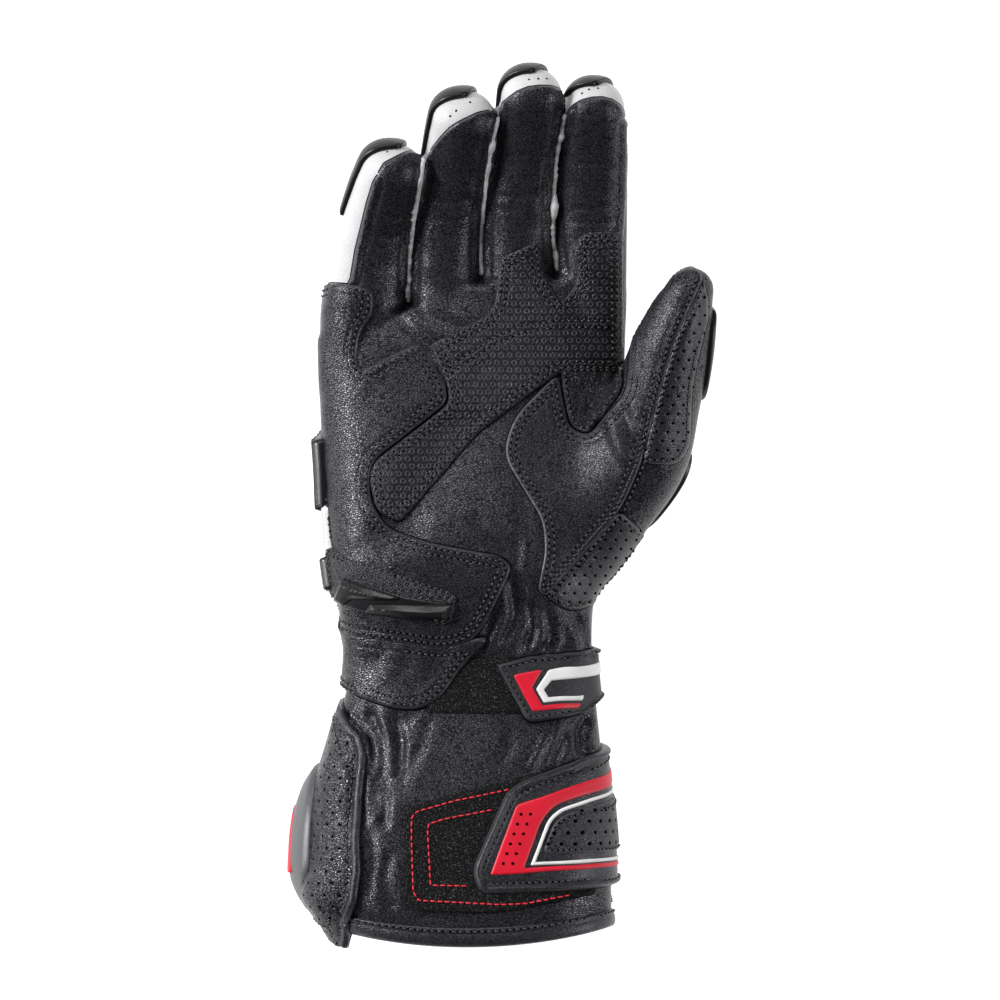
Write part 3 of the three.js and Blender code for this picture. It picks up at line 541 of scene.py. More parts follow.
# Where places are aimed at a surface: out from the trunk's middle, or beside a digit's centre line.
TRUNK_MIDDLE, TRUNK_OUT = 30.0, 4
DIGIT_OUT = 1.5


def locate(xy, wrap=False, face=1, surface=None):
    """Points and normals for flat places, on the base or on another surface that lies over it."""
    ground = surface or base
    hit, hits, normals = ground.below(xy, face)
    away = ~hit
    if wrap:
        left, right = column(TRUNK, LEFT, xy[:, 1]), column(TRUNK, RIGHT, xy[:, 1])
        middle = (left + right) / 2
        away = away | (np.abs(xy[:, 0] - middle) > (right - left) / 2 * DIRECT)
    if not away.any():
        return hits, normals
    far = xy[away]
    if wrap:
        aim = rolled(far, face)
        if surface:
            centre = np.column_stack([middle[away], aim[:, 1], np.full(len(aim), TRUNK_MIDDLE)])
            aim = aim + unit(aim - centre) * TRUNK_OUT
    else:
        aim = np.column_stack([far, centre_height(far) + DIGIT_OUT * face])
    hits[away], normals[away] = ground.nearest(aim)
    if wrap and not surface:
        normals[away] = trunk_normal(far, face)
    return hits, normals


# Outlines and panels.

def rounded(corners):
    """An outline with its corners, given as x, y, radius, rounded off."""
    out = []
    for i, (x, y, radius) in enumerate(corners):
        corner = np.array([x, y], float)
        before = np.array(corners[i - 1][:2], float) - corner
        after = np.array(corners[(i + 1) % len(corners)][:2], float) - corner
        cut = min(radius, 0.45 * np.linalg.norm(before), 0.45 * np.linalg.norm(after))
        if cut < 0.3:
            out.append(corner)
            continue
        a, b = corner + unit(before) * cut, corner + unit(after) * cut
        out += [(1 - t) ** 2 * a + 2 * t * (1 - t) * corner + t**2 * b for t in np.linspace(0, 1, 7)]
    return np.array(out)


def outline_distance(xy, outline):
    """Distance to an outline, the nearest point on it, and whether a point is inside."""
    best = np.full(len(xy), np.inf)
    near = np.zeros_like(xy)
    inside = np.zeros(len(xy), bool)
    x, y = xy[:, 0], xy[:, 1]
    for a, b in zip(outline, np.roll(outline, -1, 0)):
        step = b - a
        length = step @ step
        if length < 1e-12:
            continue
        t = np.clip(((xy - a) @ step) / length, 0, 1)
        place = a + t[:, None] * step
        d = np.hypot(*(xy - place).T)
        closer = d < best
        best = np.where(closer, d, best)
        near[closer] = place[closer]
        if a[1] != b[1]:
            crosses = (a[1] > y) != (b[1] > y)
            inside ^= crosses & (x < (b[0] - a[0]) * (y - a[1]) / (b[1] - a[1]) + a[0])
    return best, near, inside


def signed_area(ring):
    """The area inside a ring of points, more than 0 where it runs anticlockwise."""
    after = np.roll(ring, -1, 0)
    return 0.5 * (ring[:, 0] * after[:, 1] - after[:, 0] * ring[:, 1]).sum()


# Shares of a cell: points this near the outline move onto it, and smaller faces are left out.
SNAP, SLIVER = 0.505, 0.08


def flat_patch(outline, cell):
    """A grid inside an outline, its edge points moved onto the outline."""
    low, high = outline.min(0) - cell, outline.max(0) + cell
    nx, ny = np.ceil((high - low) / cell).astype(int) + 1
    gx, gy = np.meshgrid(low[0] + cell * np.arange(nx), low[1] + cell * np.arange(ny), indexing="ij")
    xy = np.column_stack([gx.ravel(), gy.ravel()])
    d, near, inside = outline_distance(xy, outline)
    snap = d < SNAP * cell
    xy[snap] = near[snap]
    kept = inside | snap
    index = np.arange(nx * ny).reshape(nx, ny)
    cells = np.stack([index[:-1, :-1], index[1:, :-1], index[1:, 1:], index[:-1, 1:]], -1)
    cells = cells.reshape(-1, 4)
    faces = []
    for four in cells[kept[cells].sum(1) >= 3]:
        face = [v for v in four if kept[v]]
        if abs(signed_area(xy[face])) > SLIVER * cell * cell:
            faces.append(face)
    used = np.unique(np.concatenate([np.array(f) for f in faces]))
    renumber = np.full(nx * ny, -1)
    renumber[used] = np.arange(len(used))
    faces = [tuple(int(renumber[v]) for v in f) for f in faces]
    return xy[used], faces, np.where(snap, 0, d)[used]


# Edges of a piece, as steps outward with the share of the edge's height, or a depth below 0.
RIM = ((0.10, 0.45), (0.12, 0.4), (0.5, 0.34), (0.55, -0.7))
HARD_RIM = ((0.08, 0.9), (0.12, 0.3), (0.12, -0.4))
PRINT_RIM = ((0.04, 0.98), (0.08, 0.93), (0.08, 0.8))


def rimmed(xy, height, faces, rim):
    """Carries a patch down over its border. Also gives the number of border points."""
    seen = dict.fromkeys((a, b) for f in faces for a, b in zip(f, f[1:] + f[:1]))
    edges = [(a, b) for a, b in seen if (b, a) not in seen]
    outward = np.zeros_like(xy)
    for a, b in edges:
        way = xy[b] - xy[a]
        normal = np.array([way[1], -way[0]]) / max(np.hypot(*way), 1e-9)
        outward[a] += normal
        outward[b] += normal
    ring = np.unique(np.array(edges).ravel())
    outward = unit(outward[ring])
    all_xy, all_height, all_faces = [xy], [height], list(faces)
    before = {int(v): int(v) for v in ring}
    for step, (out, share) in enumerate(rim):
        all_xy.append(xy[ring] + outward * out)
        all_height.append(height[ring] * share if share > 0 else np.full(len(ring), share))
        start = len(xy) + step * len(ring)
        after = {int(v): start + i for i, v in enumerate(ring)}
        all_faces += [(before[b], before[a], after[a], after[b]) for a, b in edges]
        before = after
    return np.concatenate(all_xy), np.concatenate(all_height), all_faces, len(ring)


# Height directions of pieces that don't wrap lean towards the viewer by TILT. The second value is the
# width in mm over which edges are painted lighter: a painted highlight. A piece's height at its very
# edge is EDGE_SHARE of its thickness.
TILT, HIGHLIGHT_WIDTH, EDGE_SHARE = 0.7, 0.7, 0.55


def panel(name, outline, thick, look, *nodes, cell=0.7, edge=0.8, relief=None, wrap=False, face=1,
          lift=0.0, rim=RIM, smooth=True, exact=False):
    """A piece laid on the glove inside its outline, with a rolled edge. wrap lays it round the
    trunk, and exact on the unrolled form itself, without the skin's folds."""
    xy, faces, d = flat_patch(outline, cell)
    u = np.clip(d / edge, 0, 1)
    height = lift + thick * (EDGE_SHARE + (1 - EDGE_SHARE) * np.sqrt(1 - (1 - u) ** 2))
    if relief is not None:
        height = height + relief(xy, d)
    xy, height, faces, around = rimmed(xy, height, faces, rim)
    if exact:
        hits, normals = rolled(xy, face), trunk_normal(xy, face)
    else:
        hits, normals = locate(xy, wrap, face)
    ways = unit(normals + [0, 0, 0 if wrap else TILT * face])
    if face < 0:
        faces = [tuple(reversed(f)) for f in faces]
    obj = make_object(name, hits + ways * height[:, None], faces, xy, smooth)
    inner = len(d)
    foot, painted_light_share = np.zeros(len(xy)), np.zeros(len(xy))
    # The foot of the edge goes in the lip layer, which its look paints black: a painted shadow.
    foot[inner + around:] = 1
    # The rim layer paints the edge lighter, fading inward: a painted highlight.
    painted_light_share[:inner] = np.clip(1 - d / HIGHLIGHT_WIDTH, 0, 1)
    painted_light_share[inner:inner + around] = 1
    add_layer(obj, "lip", foot)
    add_layer(obj, "rim", painted_light_share)
    return finish(obj, look, *nodes)


LINE_STEP, LINE_BREAK = 0.4, 2.5


def inset_lines(outline, inset, keep=None):
    """Lines that run at a distance inside an outline, broken where there is no room for them."""
    turn = np.sign(signed_area(outline))
    places = []
    for a, b in zip(outline, np.roll(outline, -1, 0)):
        length = np.hypot(*(b - a))
        if length < 1e-6:
            continue
        inward = np.array([-(b - a)[1], (b - a)[0]]) / length * turn
        for t in np.linspace(0, 1, max(2, int(length / LINE_STEP)), endpoint=False):
            places.append(a + (b - a) * t + inward * inset)
    places = np.array(places)
    d, _, inside = outline_distance(places, outline)
    good = inside & (d > inset - 0.08)
    if keep is not None:
        good &= keep(places)
    lines, line = [], []
    for place, ok in zip(np.concatenate([places, places[:1]]), np.concatenate([good, good[:1]])):
        if ok and (not line or np.hypot(*(place - line[-1])) < LINE_BREAK):
            line.append(place)
        else:
            lines.append(line)
            line = [place] if ok else []
    return [np.array(one) for one in lines + [line] if len(one) > 3]


def resampled(line, pitch):
    """Points at an even pitch along a polyline."""
    line = np.asarray(line, float)
    run = np.concatenate([[0], np.cumsum(np.linalg.norm(np.diff(line, axis=0), axis=1))])
    at = np.arange(pitch / 2, run[-1], pitch)
    return np.column_stack([np.interp(at, run, line[:, i]) for i in range(line.shape[1])])


# Looks.

# Near black for painted shade: at the foot of each piece's edge and inside holes.
PAINTED_SHADE_BLACK = (0.001, 0.001, 0.001)


def add_node(tree, kind, settings=None, **inputs):
    """A shader node. Inputs are names with _ for spaces, or i0, i1 for places."""
    node = tree.nodes.new("ShaderNode" + kind)
    for key, value in (settings or {}).items():
        setattr(node, key, value)
    for key, value in inputs.items():
        socket = node.inputs[int(key[1:]) if key[1:].isdigit() else key.replace("_", " ")]
        if isinstance(value, bpy.types.NodeSocket):
            tree.links.new(value, socket)
        else:
            socket.default_value = value
    return node


def new_look(name, **sockets):
    """A material and its tree, with constant values set on the shader's own sockets."""
    look = bpy.data.materials.new(name)
    look.use_nodes = True
    shader = look.node_tree.nodes["Principled BSDF"]
    for key, value in sockets.items():
        shader.inputs[key.replace("_", " ")].default_value = value
    return look, look.node_tree, shader


def maths(tree, operation, a, b=0.0):
    return add_node(tree, "Math", {"operation": operation}, i0=a, i1=b).outputs[0]


def plus(tree, height, other, share):
    """A height with a share of another added."""
    return maths(tree, "ADD", height, maths(tree, "MULTIPLY", other, share))


def gap(tree, a, b):
    """How far apart two values are."""
    return maths(tree, "ABSOLUTE", maths(tree, "SUBTRACT", a, b))


def vectors(tree, operation, *values, output=0):
    """Maths on vectors."""
    places = {f"i{i}": value for i, value in enumerate(values)}
    return add_node(tree, "VectorMath", {"operation": operation}, **places).outputs[output]


def scaled(tree, vector, scale):
    return add_node(tree, "VectorMath", {"operation": "SCALE"}, Vector=vector, Scale=scale).outputs[0]


def remap(tree, value, low, high, to_low, to_high, smooth=False):
    """Takes a value's range from low, high to another, and cuts off what is past it."""
    settings = {"interpolation_type": "SMOOTHSTEP" if smooth else "LINEAR"}
    node = add_node(tree, "MapRange", settings, i0=value, i1=low, i2=high, i3=to_low, i4=to_high)
    return node.outputs[0]


def mix_colors(tree, share, a, b):
    node = add_node(tree, "Mix", {"data_type": "RGBA"}, i0=share)
    for place, value in ((6, a), (7, b)):
        if isinstance(value, bpy.types.NodeSocket):
            tree.links.new(value, node.inputs[place])
        else:
            node.inputs[place].default_value = (*value, 1)
    return node.outputs[2]


def attribute(tree, name):
    return add_node(tree, "Attribute", {"attribute_name": name}).outputs["Fac"]


def noise(tree, where, size, detail=3.0, rough=0.55, output="Fac"):
    """Noise whose lumps are about size mm."""
    scale = 1 / (size * MM)
    node = add_node(tree, "TexNoise", Vector=where, Scale=scale, Detail=detail, Roughness=rough)
    return node.outputs[output]


def cell_edges(tree, where, size):
    """Distance from the edges of irregular cells of about size mm."""
    settings = {"feature": "DISTANCE_TO_EDGE"}
    node = add_node(tree, "TexVoronoi", settings, Vector=where, Scale=1 / (size * MM))
    return node.outputs["Distance"]


def stretched(tree, where, scale, turn):
    return add_node(tree, "Mapping", Vector=where, Scale=scale, Rotation=(0.0, 0.0, turn)).outputs[0]


def bumped(tree, shader, height, depth, strength=1.0):
    bump = add_node(tree, "Bump", Height=height, Strength=strength, Distance=depth * MM)
    tree.links.new(bump.outputs[0], shader.inputs["Normal"])


def hex_distance(tree, spacing):
    """Distance in mm from the nearest point of a hexagonal lattice on the flat leather."""
    stored = add_node(tree, "UVMap", {"uv_map": "flat"}).outputs[0]
    flat = scaled(tree, stored, 1 / FLAT_SCALE)
    cell = (spacing, spacing * math.sqrt(3), 1.0)
    half = (cell[0] / 2, cell[1] / 2, 0.0)
    found = []
    for shift in ((0.0, 0.0, 0.0), half):
        wrapped = vectors(tree, "WRAP", vectors(tree, "ADD", flat, shift), cell, (0.0, 0.0, 0.0))
        offset = vectors(tree, "SUBTRACT", wrapped, half)
        level = vectors(tree, "MULTIPLY", offset, (1.0, 1.0, 0.0))
        found.append(vectors(tree, "LENGTH", level, output="Value"))
    return maths(tree, "MINIMUM", *found)


def leather_relief(tree, where, wide, grain, wrinkle):
    """Height of grained leather, its cells' tops, and the tops weighted over wide patches, which are
    also the share painted lighter: painted shade between the cells.
    """
    warp = noise(tree, where, 5, 2.0, 0.5, "Color")
    bent = vectors(tree, "ADD", where, scaled(tree, warp, 2.4 * MM))
    edges = cell_edges(tree, stretched(tree, bent, (0.85, 1.4, 1.0), 0.2), grain)
    tops = remap(tree, edges, 0.0, 0.3, 0.0, 1.0, True)
    lines = stretched(tree, bent, (1.0, 2.0, 1.0), 0.5)
    ridges = remap(tree, gap(tree, noise(tree, lines, 2.4, 2.0), 0.5), 0.0, 0.09, 0.0, 1.0, True)
    # The tops vary over wide patches. Their share is raised in the bump and painted lighter in the
    # colour, so the valleys stay darker: painted shade.
    painted_light_share = maths(tree, "MULTIPLY", tops, remap(tree, wide, 0.35, 0.68, 0.75, 1.0, True))
    height = plus(tree, painted_light_share, noise(tree, where, 0.32, 3.0), 0.05)
    height = plus(tree, height, noise(tree, lines, 3.0, 4.0, 0.6), 1.8 * wrinkle)
    return plus(tree, height, ridges, 0.9 * wrinkle), tops, painted_light_share


def leather(name, dark, light, rough, grain=0.9, depth=0.05, wrinkle=0.5, valley=0.5, pattern=None):
    """Grained leather with lighter tops and darker valleys, painted shade. Its edges are lighter, a
    painted highlight, and matt black at the foot, a painted shadow.
    """
    look, tree, shader = new_look(name, IOR=1.5, Specular_Tint=(0.93, 0.93, 1.0, 1.0))
    where = add_node(tree, "TexCoord").outputs["Object"]
    wide = noise(tree, where, 17, 3.0)
    height, tops, painted_light_share = leather_relief(tree, where, wide, grain, wrinkle)
    rim, foot = attribute(tree, "rim"), attribute(tree, "lip")
    # Painted shade in the grain: the colour is lighter on the cells' tops and darker in the valleys.
    color = mix_colors(tree, painted_light_share, dark, light)
    # A painted highlight: a lighter colour along the edges.
    rim_highlight_color = tuple(min(2.2 * c, 0.6) for c in light)
    color = mix_colors(tree, maths(tree, "MULTIPLY", rim, 0.7), color, rim_highlight_color)
    # A painted shadow: black at the foot of the edge.
    color = mix_colors(tree, foot, color, PAINTED_SHADE_BLACK)
    # The valleys reflect less, which is painted shade. The edges reflect more, a painted highlight, and
    # the foot hardly at all, a painted shadow.
    matt_and_shade = remap(tree, tops, 0.0, 1.0, valley, 0.0)
    matt_and_shade = maths(tree, "MULTIPLY", matt_and_shade, maths(tree, "SUBTRACT", 1.0, rim))
    matt_and_shade = maths(tree, "MAXIMUM", matt_and_shade, maths(tree, "MULTIPLY", foot, 0.9))
    if pattern:
        height, color, covered = pattern(tree, height, color)
        matt_and_shade = maths(tree, "MAXIMUM", matt_and_shade, covered)
    roughness = remap(tree, wide, 0.3, 0.7, rough + 0.06, rough - 0.06)
    tree.links.new(color, shader.inputs["Base Color"])
    tree.links.new(roughness, shader.inputs["Roughness"])
    tree.links.new(remap(tree, matt_and_shade, 0.0, 1.0, 0.5, 0.0), shader.inputs["Specular IOR Level"])
    bumped(tree, shader, height, depth)
    return look


def holes(spacing, size):
    """Perforations: small round holes on a lattice, painted black inside as painted shade."""
    def pattern(tree, height, color):
        d = hex_distance(tree, spacing)
        opening = remap(tree, d, size * 0.5 - 0.1, size * 0.5 + 0.1, 1.0, 0.0, True)
        dip = remap(tree, d, size * 0.35, size * 0.5 + 0.6, 1.0, 0.0, True)
        return plus(tree, height, dip, -1.6), mix_colors(tree, opening, color, PAINTED_SHADE_BLACK), opening
    return pattern


def raised_rings(spacing, radius):
    """Small raised rubber rings on a lattice."""
    def pattern(tree, height, color):
        away = gap(tree, hex_distance(tree, spacing), radius)
        ridge = remap(tree, away, 0.1, 0.34, 1.0, 0.0, True)
        groove = remap(tree, gap(tree, away, 0.5), 0.05, 0.3, 1.0, 0.0, True)
        color = mix_colors(tree, ridge, color, (0.02, 0.02, 0.023))
        return plus(tree, height, ridge, 1.6), color, maths(tree, "MULTIPLY", groove, 0.8)
    return pattern


def painted(layer, other):
    """Another colour where the mesh's layer is more than 0."""
    def pattern(tree, height, color):
        share = remap(tree, attribute(tree, layer), -0.1, 0.1, 0.0, 1.0)
        return height, mix_colors(tree, share, color, other), maths(tree, "MULTIPLY", share, 0.6)
    return pattern


def plain(name, color, rough, size=2.0, depth=0.03, vary=0.12, **sockets):
    """Moulded plastic, rubber or thread: a slight unevenness in colour, gloss and surface."""
    look, tree, shader = new_look(name, **sockets)
    where = add_node(tree, "TexCoord").outputs["Object"]
    fine, wide = noise(tree, where, size * 0.25, 4.0), noise(tree, where, size * 8, 2.0)
    darker, lighter = (tuple(min(1.0, c * share) for c in color) for share in (1 - vary, 1 + vary))
    tree.links.new(mix_colors(tree, wide, darker, lighter), shader.inputs["Base Color"])
    roughness = remap(tree, fine, 0.3, 0.7, rough - 0.06, rough + 0.08)
    tree.links.new(roughness, shader.inputs["Roughness"])
    bumped(tree, shader, fine, depth, 0.8)
    return look


def loops(name):
    """The fuzzy side of a hook-and-loop fastener."""
    look, tree, shader = new_look(name, Roughness=0.95, Specular_IOR_Level=0.15)
    where = add_node(tree, "TexCoord").outputs["Object"]
    height = maths(tree, "MULTIPLY", noise(tree, where, 0.4, 6.0, 0.75), 1.4)
    height = plus(tree, height, cell_edges(tree, where, 0.9), 0.8)
    height = plus(tree, height, noise(tree, where, 2.6, 4.0, 0.7), 1.6)
    share = remap(tree, noise(tree, where, 0.5, 4.0, 0.7), 0.56, 0.7, 0.0, 1.0)
    color = mix_colors(tree, share, (0.002, 0.002, 0.002), (0.13, 0.13, 0.135))
    tree.links.new(color, shader.inputs["Base Color"])
    bumped(tree, shader, height, 0.6)
    return look


BLACK, BLACK_LIGHT, BLACK_DULL = (0.005, 0.005, 0.0065), (0.02, 0.02, 0.0235), (0.012, 0.012, 0.014)
DEEP_BLACK = (0.003, 0.003, 0.004)
GOATSKIN = {"grain": 0.92, "valley": 0.9}

black_leather = leather("black_goatskin", BLACK, BLACK_LIGHT, 0.32, **GOATSKIN)
thumb_leather = leather("black_thumb", BLACK, BLACK_LIGHT, 0.4, grain=0.85, depth=0.045, valley=0.9)
smooth_leather = leather("black_smooth", BLACK, BLACK_LIGHT, 0.36, wrinkle=0.4)
grip_leather = leather("black_grip", (0.0035, 0.0035, 0.0045), (0.009, 0.009, 0.011), 0.38, grain=1.0,
                       depth=0.08, wrinkle=0.9, pattern=raised_rings(2.9, 0.75))
bed_leather = leather("black_scale", DEEP_BLACK, BLACK_DULL, 0.36, depth=0.12, wrinkle=0.1,
                      valley=0.6, pattern=raised_rings(2.6, 1.0))
patch_leather = leather("black_wrinkled", DEEP_BLACK, (0.01, 0.01, 0.012), 0.46, grain=1.0, depth=0.4,
                        wrinkle=1.2)
vent_leather = leather("black_perforated", BLACK, BLACK_DULL, 0.38, wrinkle=0.6, valley=0.35,
                       pattern=holes(3.5, 1.0))
flap_leather = leather("black_flap", BLACK, BLACK_LIGHT, 0.29, grain=1.0, depth=0.08, wrinkle=1.2,
                       valley=0.8, pattern=holes(4.5, 1.0))
pad_leather = leather("black_pad", BLACK, BLACK_LIGHT, 0.42, depth=0.12, wrinkle=0.4,
                      pattern=holes(4.3, 1.3))
white_leather = leather("white_goatskin", (0.35, 0.35, 0.355), (0.4, 0.4, 0.405), 0.6, grain=0.7,
                        depth=0.07)
skin_leather = leather("skin_goatskin", BLACK, BLACK_LIGHT, 0.32, **GOATSKIN,
                       pattern=painted("white", (0.38, 0.38, 0.385)))
lining = plain("lining_cloth", (0.02, 0.02, 0.022), 0.9, 1.2, 0.15)
loop_cloth = loops("loop_cloth")
hard_black = plain("moulded_black", (0.004, 0.004, 0.005), 0.33, 1.4, Specular_IOR_Level=0.26)
hard_grey = plain("moulded_grey", (0.035, 0.036, 0.040), 0.42, 1.2, 0.05)
edge_grey = plain("raw_edge", (0.36, 0.36, 0.37), 0.85, 1.0, 0.3, 0.6)
black_thread = plain("black_thread", (0.011, 0.011, 0.013), 0.4, 0.8, 0.06)
# Black discs that do not reflect, over needle holes and punched holes: painted shade inside the holes.
needle_hole = plain("needle_hole", (0.0006, 0.0006, 0.0006), 0.9, 0.8, 0.02, Specular_IOR_Level=0.0)
red_thread = plain("red_thread", (0.55, 0.008, 0.02), 0.5, 0.8, 0.06)
red_print = plain("red_rubber", (0.44, 0.003, 0.017), 0.45, 1.6, 0.04, Specular_IOR_Level=0.3)
white_print = plain("white_rubber", (0.54, 0.54, 0.54), 0.5, 1.4, 0.04)
strap_leather = leather("black_strap", BLACK, BLACK_DULL, 0.5, grain=0.6, wrinkle=0.2)


# Outlines on the palm's side: corners as x, y, radius.
HEEL = rounded([
    (-86, 76, 0), (-50.8, 74.6, 3), (-43.7, 72.6, 5), (-43.7, 65.1, 4), (-48.5, 58.3, 4),
    (-49.1, 48.8, 2), (-47.4, 44.7, 3), (-27.7, 54.9, 4), (-18.9, 40, 3), (-18.5, 34.5, 4),
    (-44, 14.1, 5), (-44.7, 1.2, 6), (-39.3, -8.3, 5), (-26, -13.1, 8), (-0.5, -17.9, 5),
    (3.6, -21.2, 4), (-2.6, -34.5, 6), (-9.4, -46.4, 6), (-19.6, -49.5, 6), (-53.6, -44.7, 3),
    (-80, -40, 0), (-72, -36, 3), (-62, -30, 4), (-62, -18, 6), (-66, -2, 8), (-68, 20, 8), (-86, 27, 4),
])
GRIP = rounded([
    (-24.3, 53.9, 2), (-2.2, 65.1, 6), (-0.5, 83.5, 3), (13.1, 89.6, 2), (14.1, 77.4, 4),
    (20.6, 67.8, 6), (26.4, 76, 4), (24.7, 86.2, 3), (27.4, 92, 3), (40.6, 92.7, 2),
    (41.2, 44.7, 1), (20.6, 45.1, 4), (13.1, 40, 10), (-8, 24.3, 5), (-34.5, -6.3, 2),
    (-42.3, -2.9, 4), (-44.7, 8, 5), (-43.4, 13.8, 4), (-17.5, 34.2, 3), (-18.5, 40.6, 3),
])
GRIP_SEAM = [(-19.6, 44.0), (-3.2, 54.6), (7.3, 59.3), (19.6, 61.0), (38, 61.0)]
CROTCH = rounded([
    (20.2, 46.5, 1), (21.4, 36, 5), (23.6, 26.4, 5), (29.6, 23.4, 5), (34.6, 30.4, 5),
    (40.8, 38.5, 3), (40.9, 46.5, 1),
])
THENAR = rounded([
    (17.5, 42.7, 4), (4.2, 29.1, 10), (0.5, 16.5, 8), (14.1, -5.6, 8), (15.1, -15.8, 6),
    (12.4, -29.4, 4), (15.1, -31.5, 2), (40, -2.6, 8), (47.1, 13.1, 8), (51.9, 31.8, 8),
    (59, 56.6, 8), (68.2, 76.4, 2), (64.1, 81.1, 3), (52.2, 76, 6), (44.4, 57.3, 4),
    (42.3, 37.2, 4), (35.4, 29.6, 5), (29.8, 22.6, 5), (22.8, 25.6, 5), (20.6, 35.6, 5), (19.4, 42.7, 2),
])
VENT_LOWER = rounded([
    (15.1, -31.5, 2), (40, -2.6, 2), (50.5, -12.4, 2), (47.1, -26, 3), (35.5, -32.8, 6),
    (23.3, -36.9, 8),
])
VENT_UPPER = rounded([
    (68.2, 75.3, 2), (59, 56.6, 8), (51.9, 31.8, 8), (47.8, 13.8, 3), (59.3, 13.1, 4),
    (63.8, 19.6, 5), (64.2, 40.3, 8), (70.2, 64.8, 5),
])
THUMB_SEAM = [
    (67.4, 76.4), (64.4, 67.5), (58.7, 56.6), (54.6, 43.4), (51.5, 31.8), (49.8, 21.2),
    (46.8, 13.1), (39.6, -3.6), (28.1, -15.8), (19.9, -25.0), (14.8, -30.4),
]
BED = rounded([
    (-62, -14.6, 1), (-52.2, -17.9, 3), (-14.8, -30.1, 3), (-16.8, -39.6, 3), (-19.9, -41, 3),
    (-54.2, -33.5, 3), (-62, -31.4, 1),
])
SLIDER = rounded([
    (-55.9, -32.2, 0.6), (-52.1, -24.4, 0.6), (-32.2, -30.4, 2), (-15.8, -33.2, 1),
    (-18.3, -39.5, 1), (-31.1, -38.9, 3), (-44, -36.2, 2), (-51, -34.2, 2),
])
UPPER_BLADE = rounded([
    (-55.3, -32.0, 0.4), (-51.9, -25.0, 0.4), (-32.6, -30.9, 0.6), (-36.5, -31.9, 0.8),
    (-48.2, -31.4, 0.8), (-51.2, -33.6, 0.4),
])
LOWER_BLADE = rounded([
    (-44.6, -35.8, 0.4), (-42.6, -32.9, 0.4), (-16.8, -33.2, 0.4), (-18.7, -38.9, 0.4), (-31, -38.2, 2),
])
FLAP = rounded([
    (-80, -35, 0), (-53.6, -43.6, 3), (-19.6, -48.6, 6), (-9.4, -45.6, 4), (-4.6, -45.1, 2),
    (-14.1, -55.9, 5), (-20.2, -65.5, 9), (-27.7, -69.9, 8), (-36.6, -69.5, 8),
    (-54.9, -63.4, 4), (-80, -58, 0),
])
WRIST_LOOP = rounded([(-27, -52.6, 0), (8.3, -52.9, 1), (9.7, -70.9, 1), (-25, -70.6, 0)])
WRIST_STRAP = rounded([
    (-1.8, -54.6, 2), (10, -51.9, 1), (28, -50.2, 1), (48, -48.6, 1), (92, -48, 4), (92, -65.5, 4),
    (46, -65.2, 3), (34, -67.2, 5), (26.2, -71.8, 5), (8.8, -74.4, 3),
])
WRIST_RED = rounded([
    (3.8, -58.3, 1), (13.2, -56.6, 0.4), (9.9, -62.6, 0.3), (13.4, -68.8, 0.5), (25.8, -67.5, 0.4),
    (24.8, -69.2, 0.4), (10.2, -70.7, 0.6),
])
WRIST_WHITE = rounded([
    (60, -52.2, 0.3), (35.2, -54.3, 2), (15.4, -56.7, 0.5), (11.3, -63.2, 0.5), (13.9, -67.7, 0.5),
    (26.3, -66.4, 0.4), (27.1, -65.1, 0.4), (15.3, -66.1, 0.3), (13.7, -63.4, 0.4),
    (16.2, -60.2, 0.4), (35.2, -58.3, 2), (60, -56.2, 0.3),
])
CUFF_LOOP = rounded([
    (-32.1, -103.5, 2), (-20.9, -100.1, 2), (30, -87.0, 0), (32, -132, 0), (-1.2, -138.2, 6),
    (-28.7, -137.5, 4), (-32.5, -134.1, 3),
])
CUFF_STRAP = rounded([
    (98, -84, 6), (50, -81.6, 4), (38.5, -83.6, 6), (28.5, -86.2, 4), (10.7, -92.7, 8),
    (2.2, -96.7, 8), (-10, -123.9, 8), (-7.3, -131.8, 5), (19.9, -131.1, 5), (50, -129, 4),
    (98, -127, 6),
])
CUFF_RED = rounded([
    (4.9, -102.3, 1), (28.5, -94.4, 2), (50, -89.4, 2), (90, -87.6, 0.5), (90, -92.4, 0.5),
    (49, -94.2, 2), (28.5, -98.6, 2), (17.4, -102.2, 4), (12.9, -107.3, 4), (7.1, -123.4, 1),
    (28.5, -122.2, 1), (90, -120.6, 0.5), (90, -121.8, 0.5), (28.5, -123.6, 1), (-3.8, -125.5, 0.6),
])
CUFF_WHITE = rounded([
    (9.4, -122.4, 0.5), (15.2, -107.0, 4), (19.2, -103.6, 5), (29, -100.3, 2), (49, -95.9, 2),
    (90, -93.9, 0.4), (90, -94.9, 0.4), (49, -96.9, 2), (29, -101.3, 2), (19.6, -104.6, 4),
    (16.1, -107.6, 3.4), (10.8, -121.4, 0.4), (29, -120.6, 1), (90, -118.9, 0.4),
    (90, -119.8, 0.4), (29, -121.6, 1),
])
CUFF_PAD = rounded([
    (13.2, -118.6, 3), (17.0, -108.4, 4), (21, -105.4, 4), (30, -102.9, 3), (49, -99.0, 2),
    (88, -97.0, 3), (88, -116.0, 3), (30, -118.4, 3),
])
SIDE_FLAP = rounded([
    (-112, -66, 0), (-64, -66.5, 3), (-55.4, -70.2, 2), (-52.5, -75, 3), (-47.8, -82.8, 7),
    (-46.7, -89.5, 9), (-48.9, -112.7, 20), (-48.2, -125, 10), (-50.4, -136, 8),
    (-55.6, -151, 1.5), (-66, -146, 8), (-112, -140, 0),
])
PIPING = [
    (-55.4, -69.6), (-52.5, -75), (-48.9, -80.6), (-47.2, -85.6), (-46.9, -90.5), (-48, -101.5),
    (-48.8, -112.7), (-48.4, -124.6), (-49.7, -133.8), (-52.2, -140.5), (-54.6, -146), (-55.4, -151.2),
]

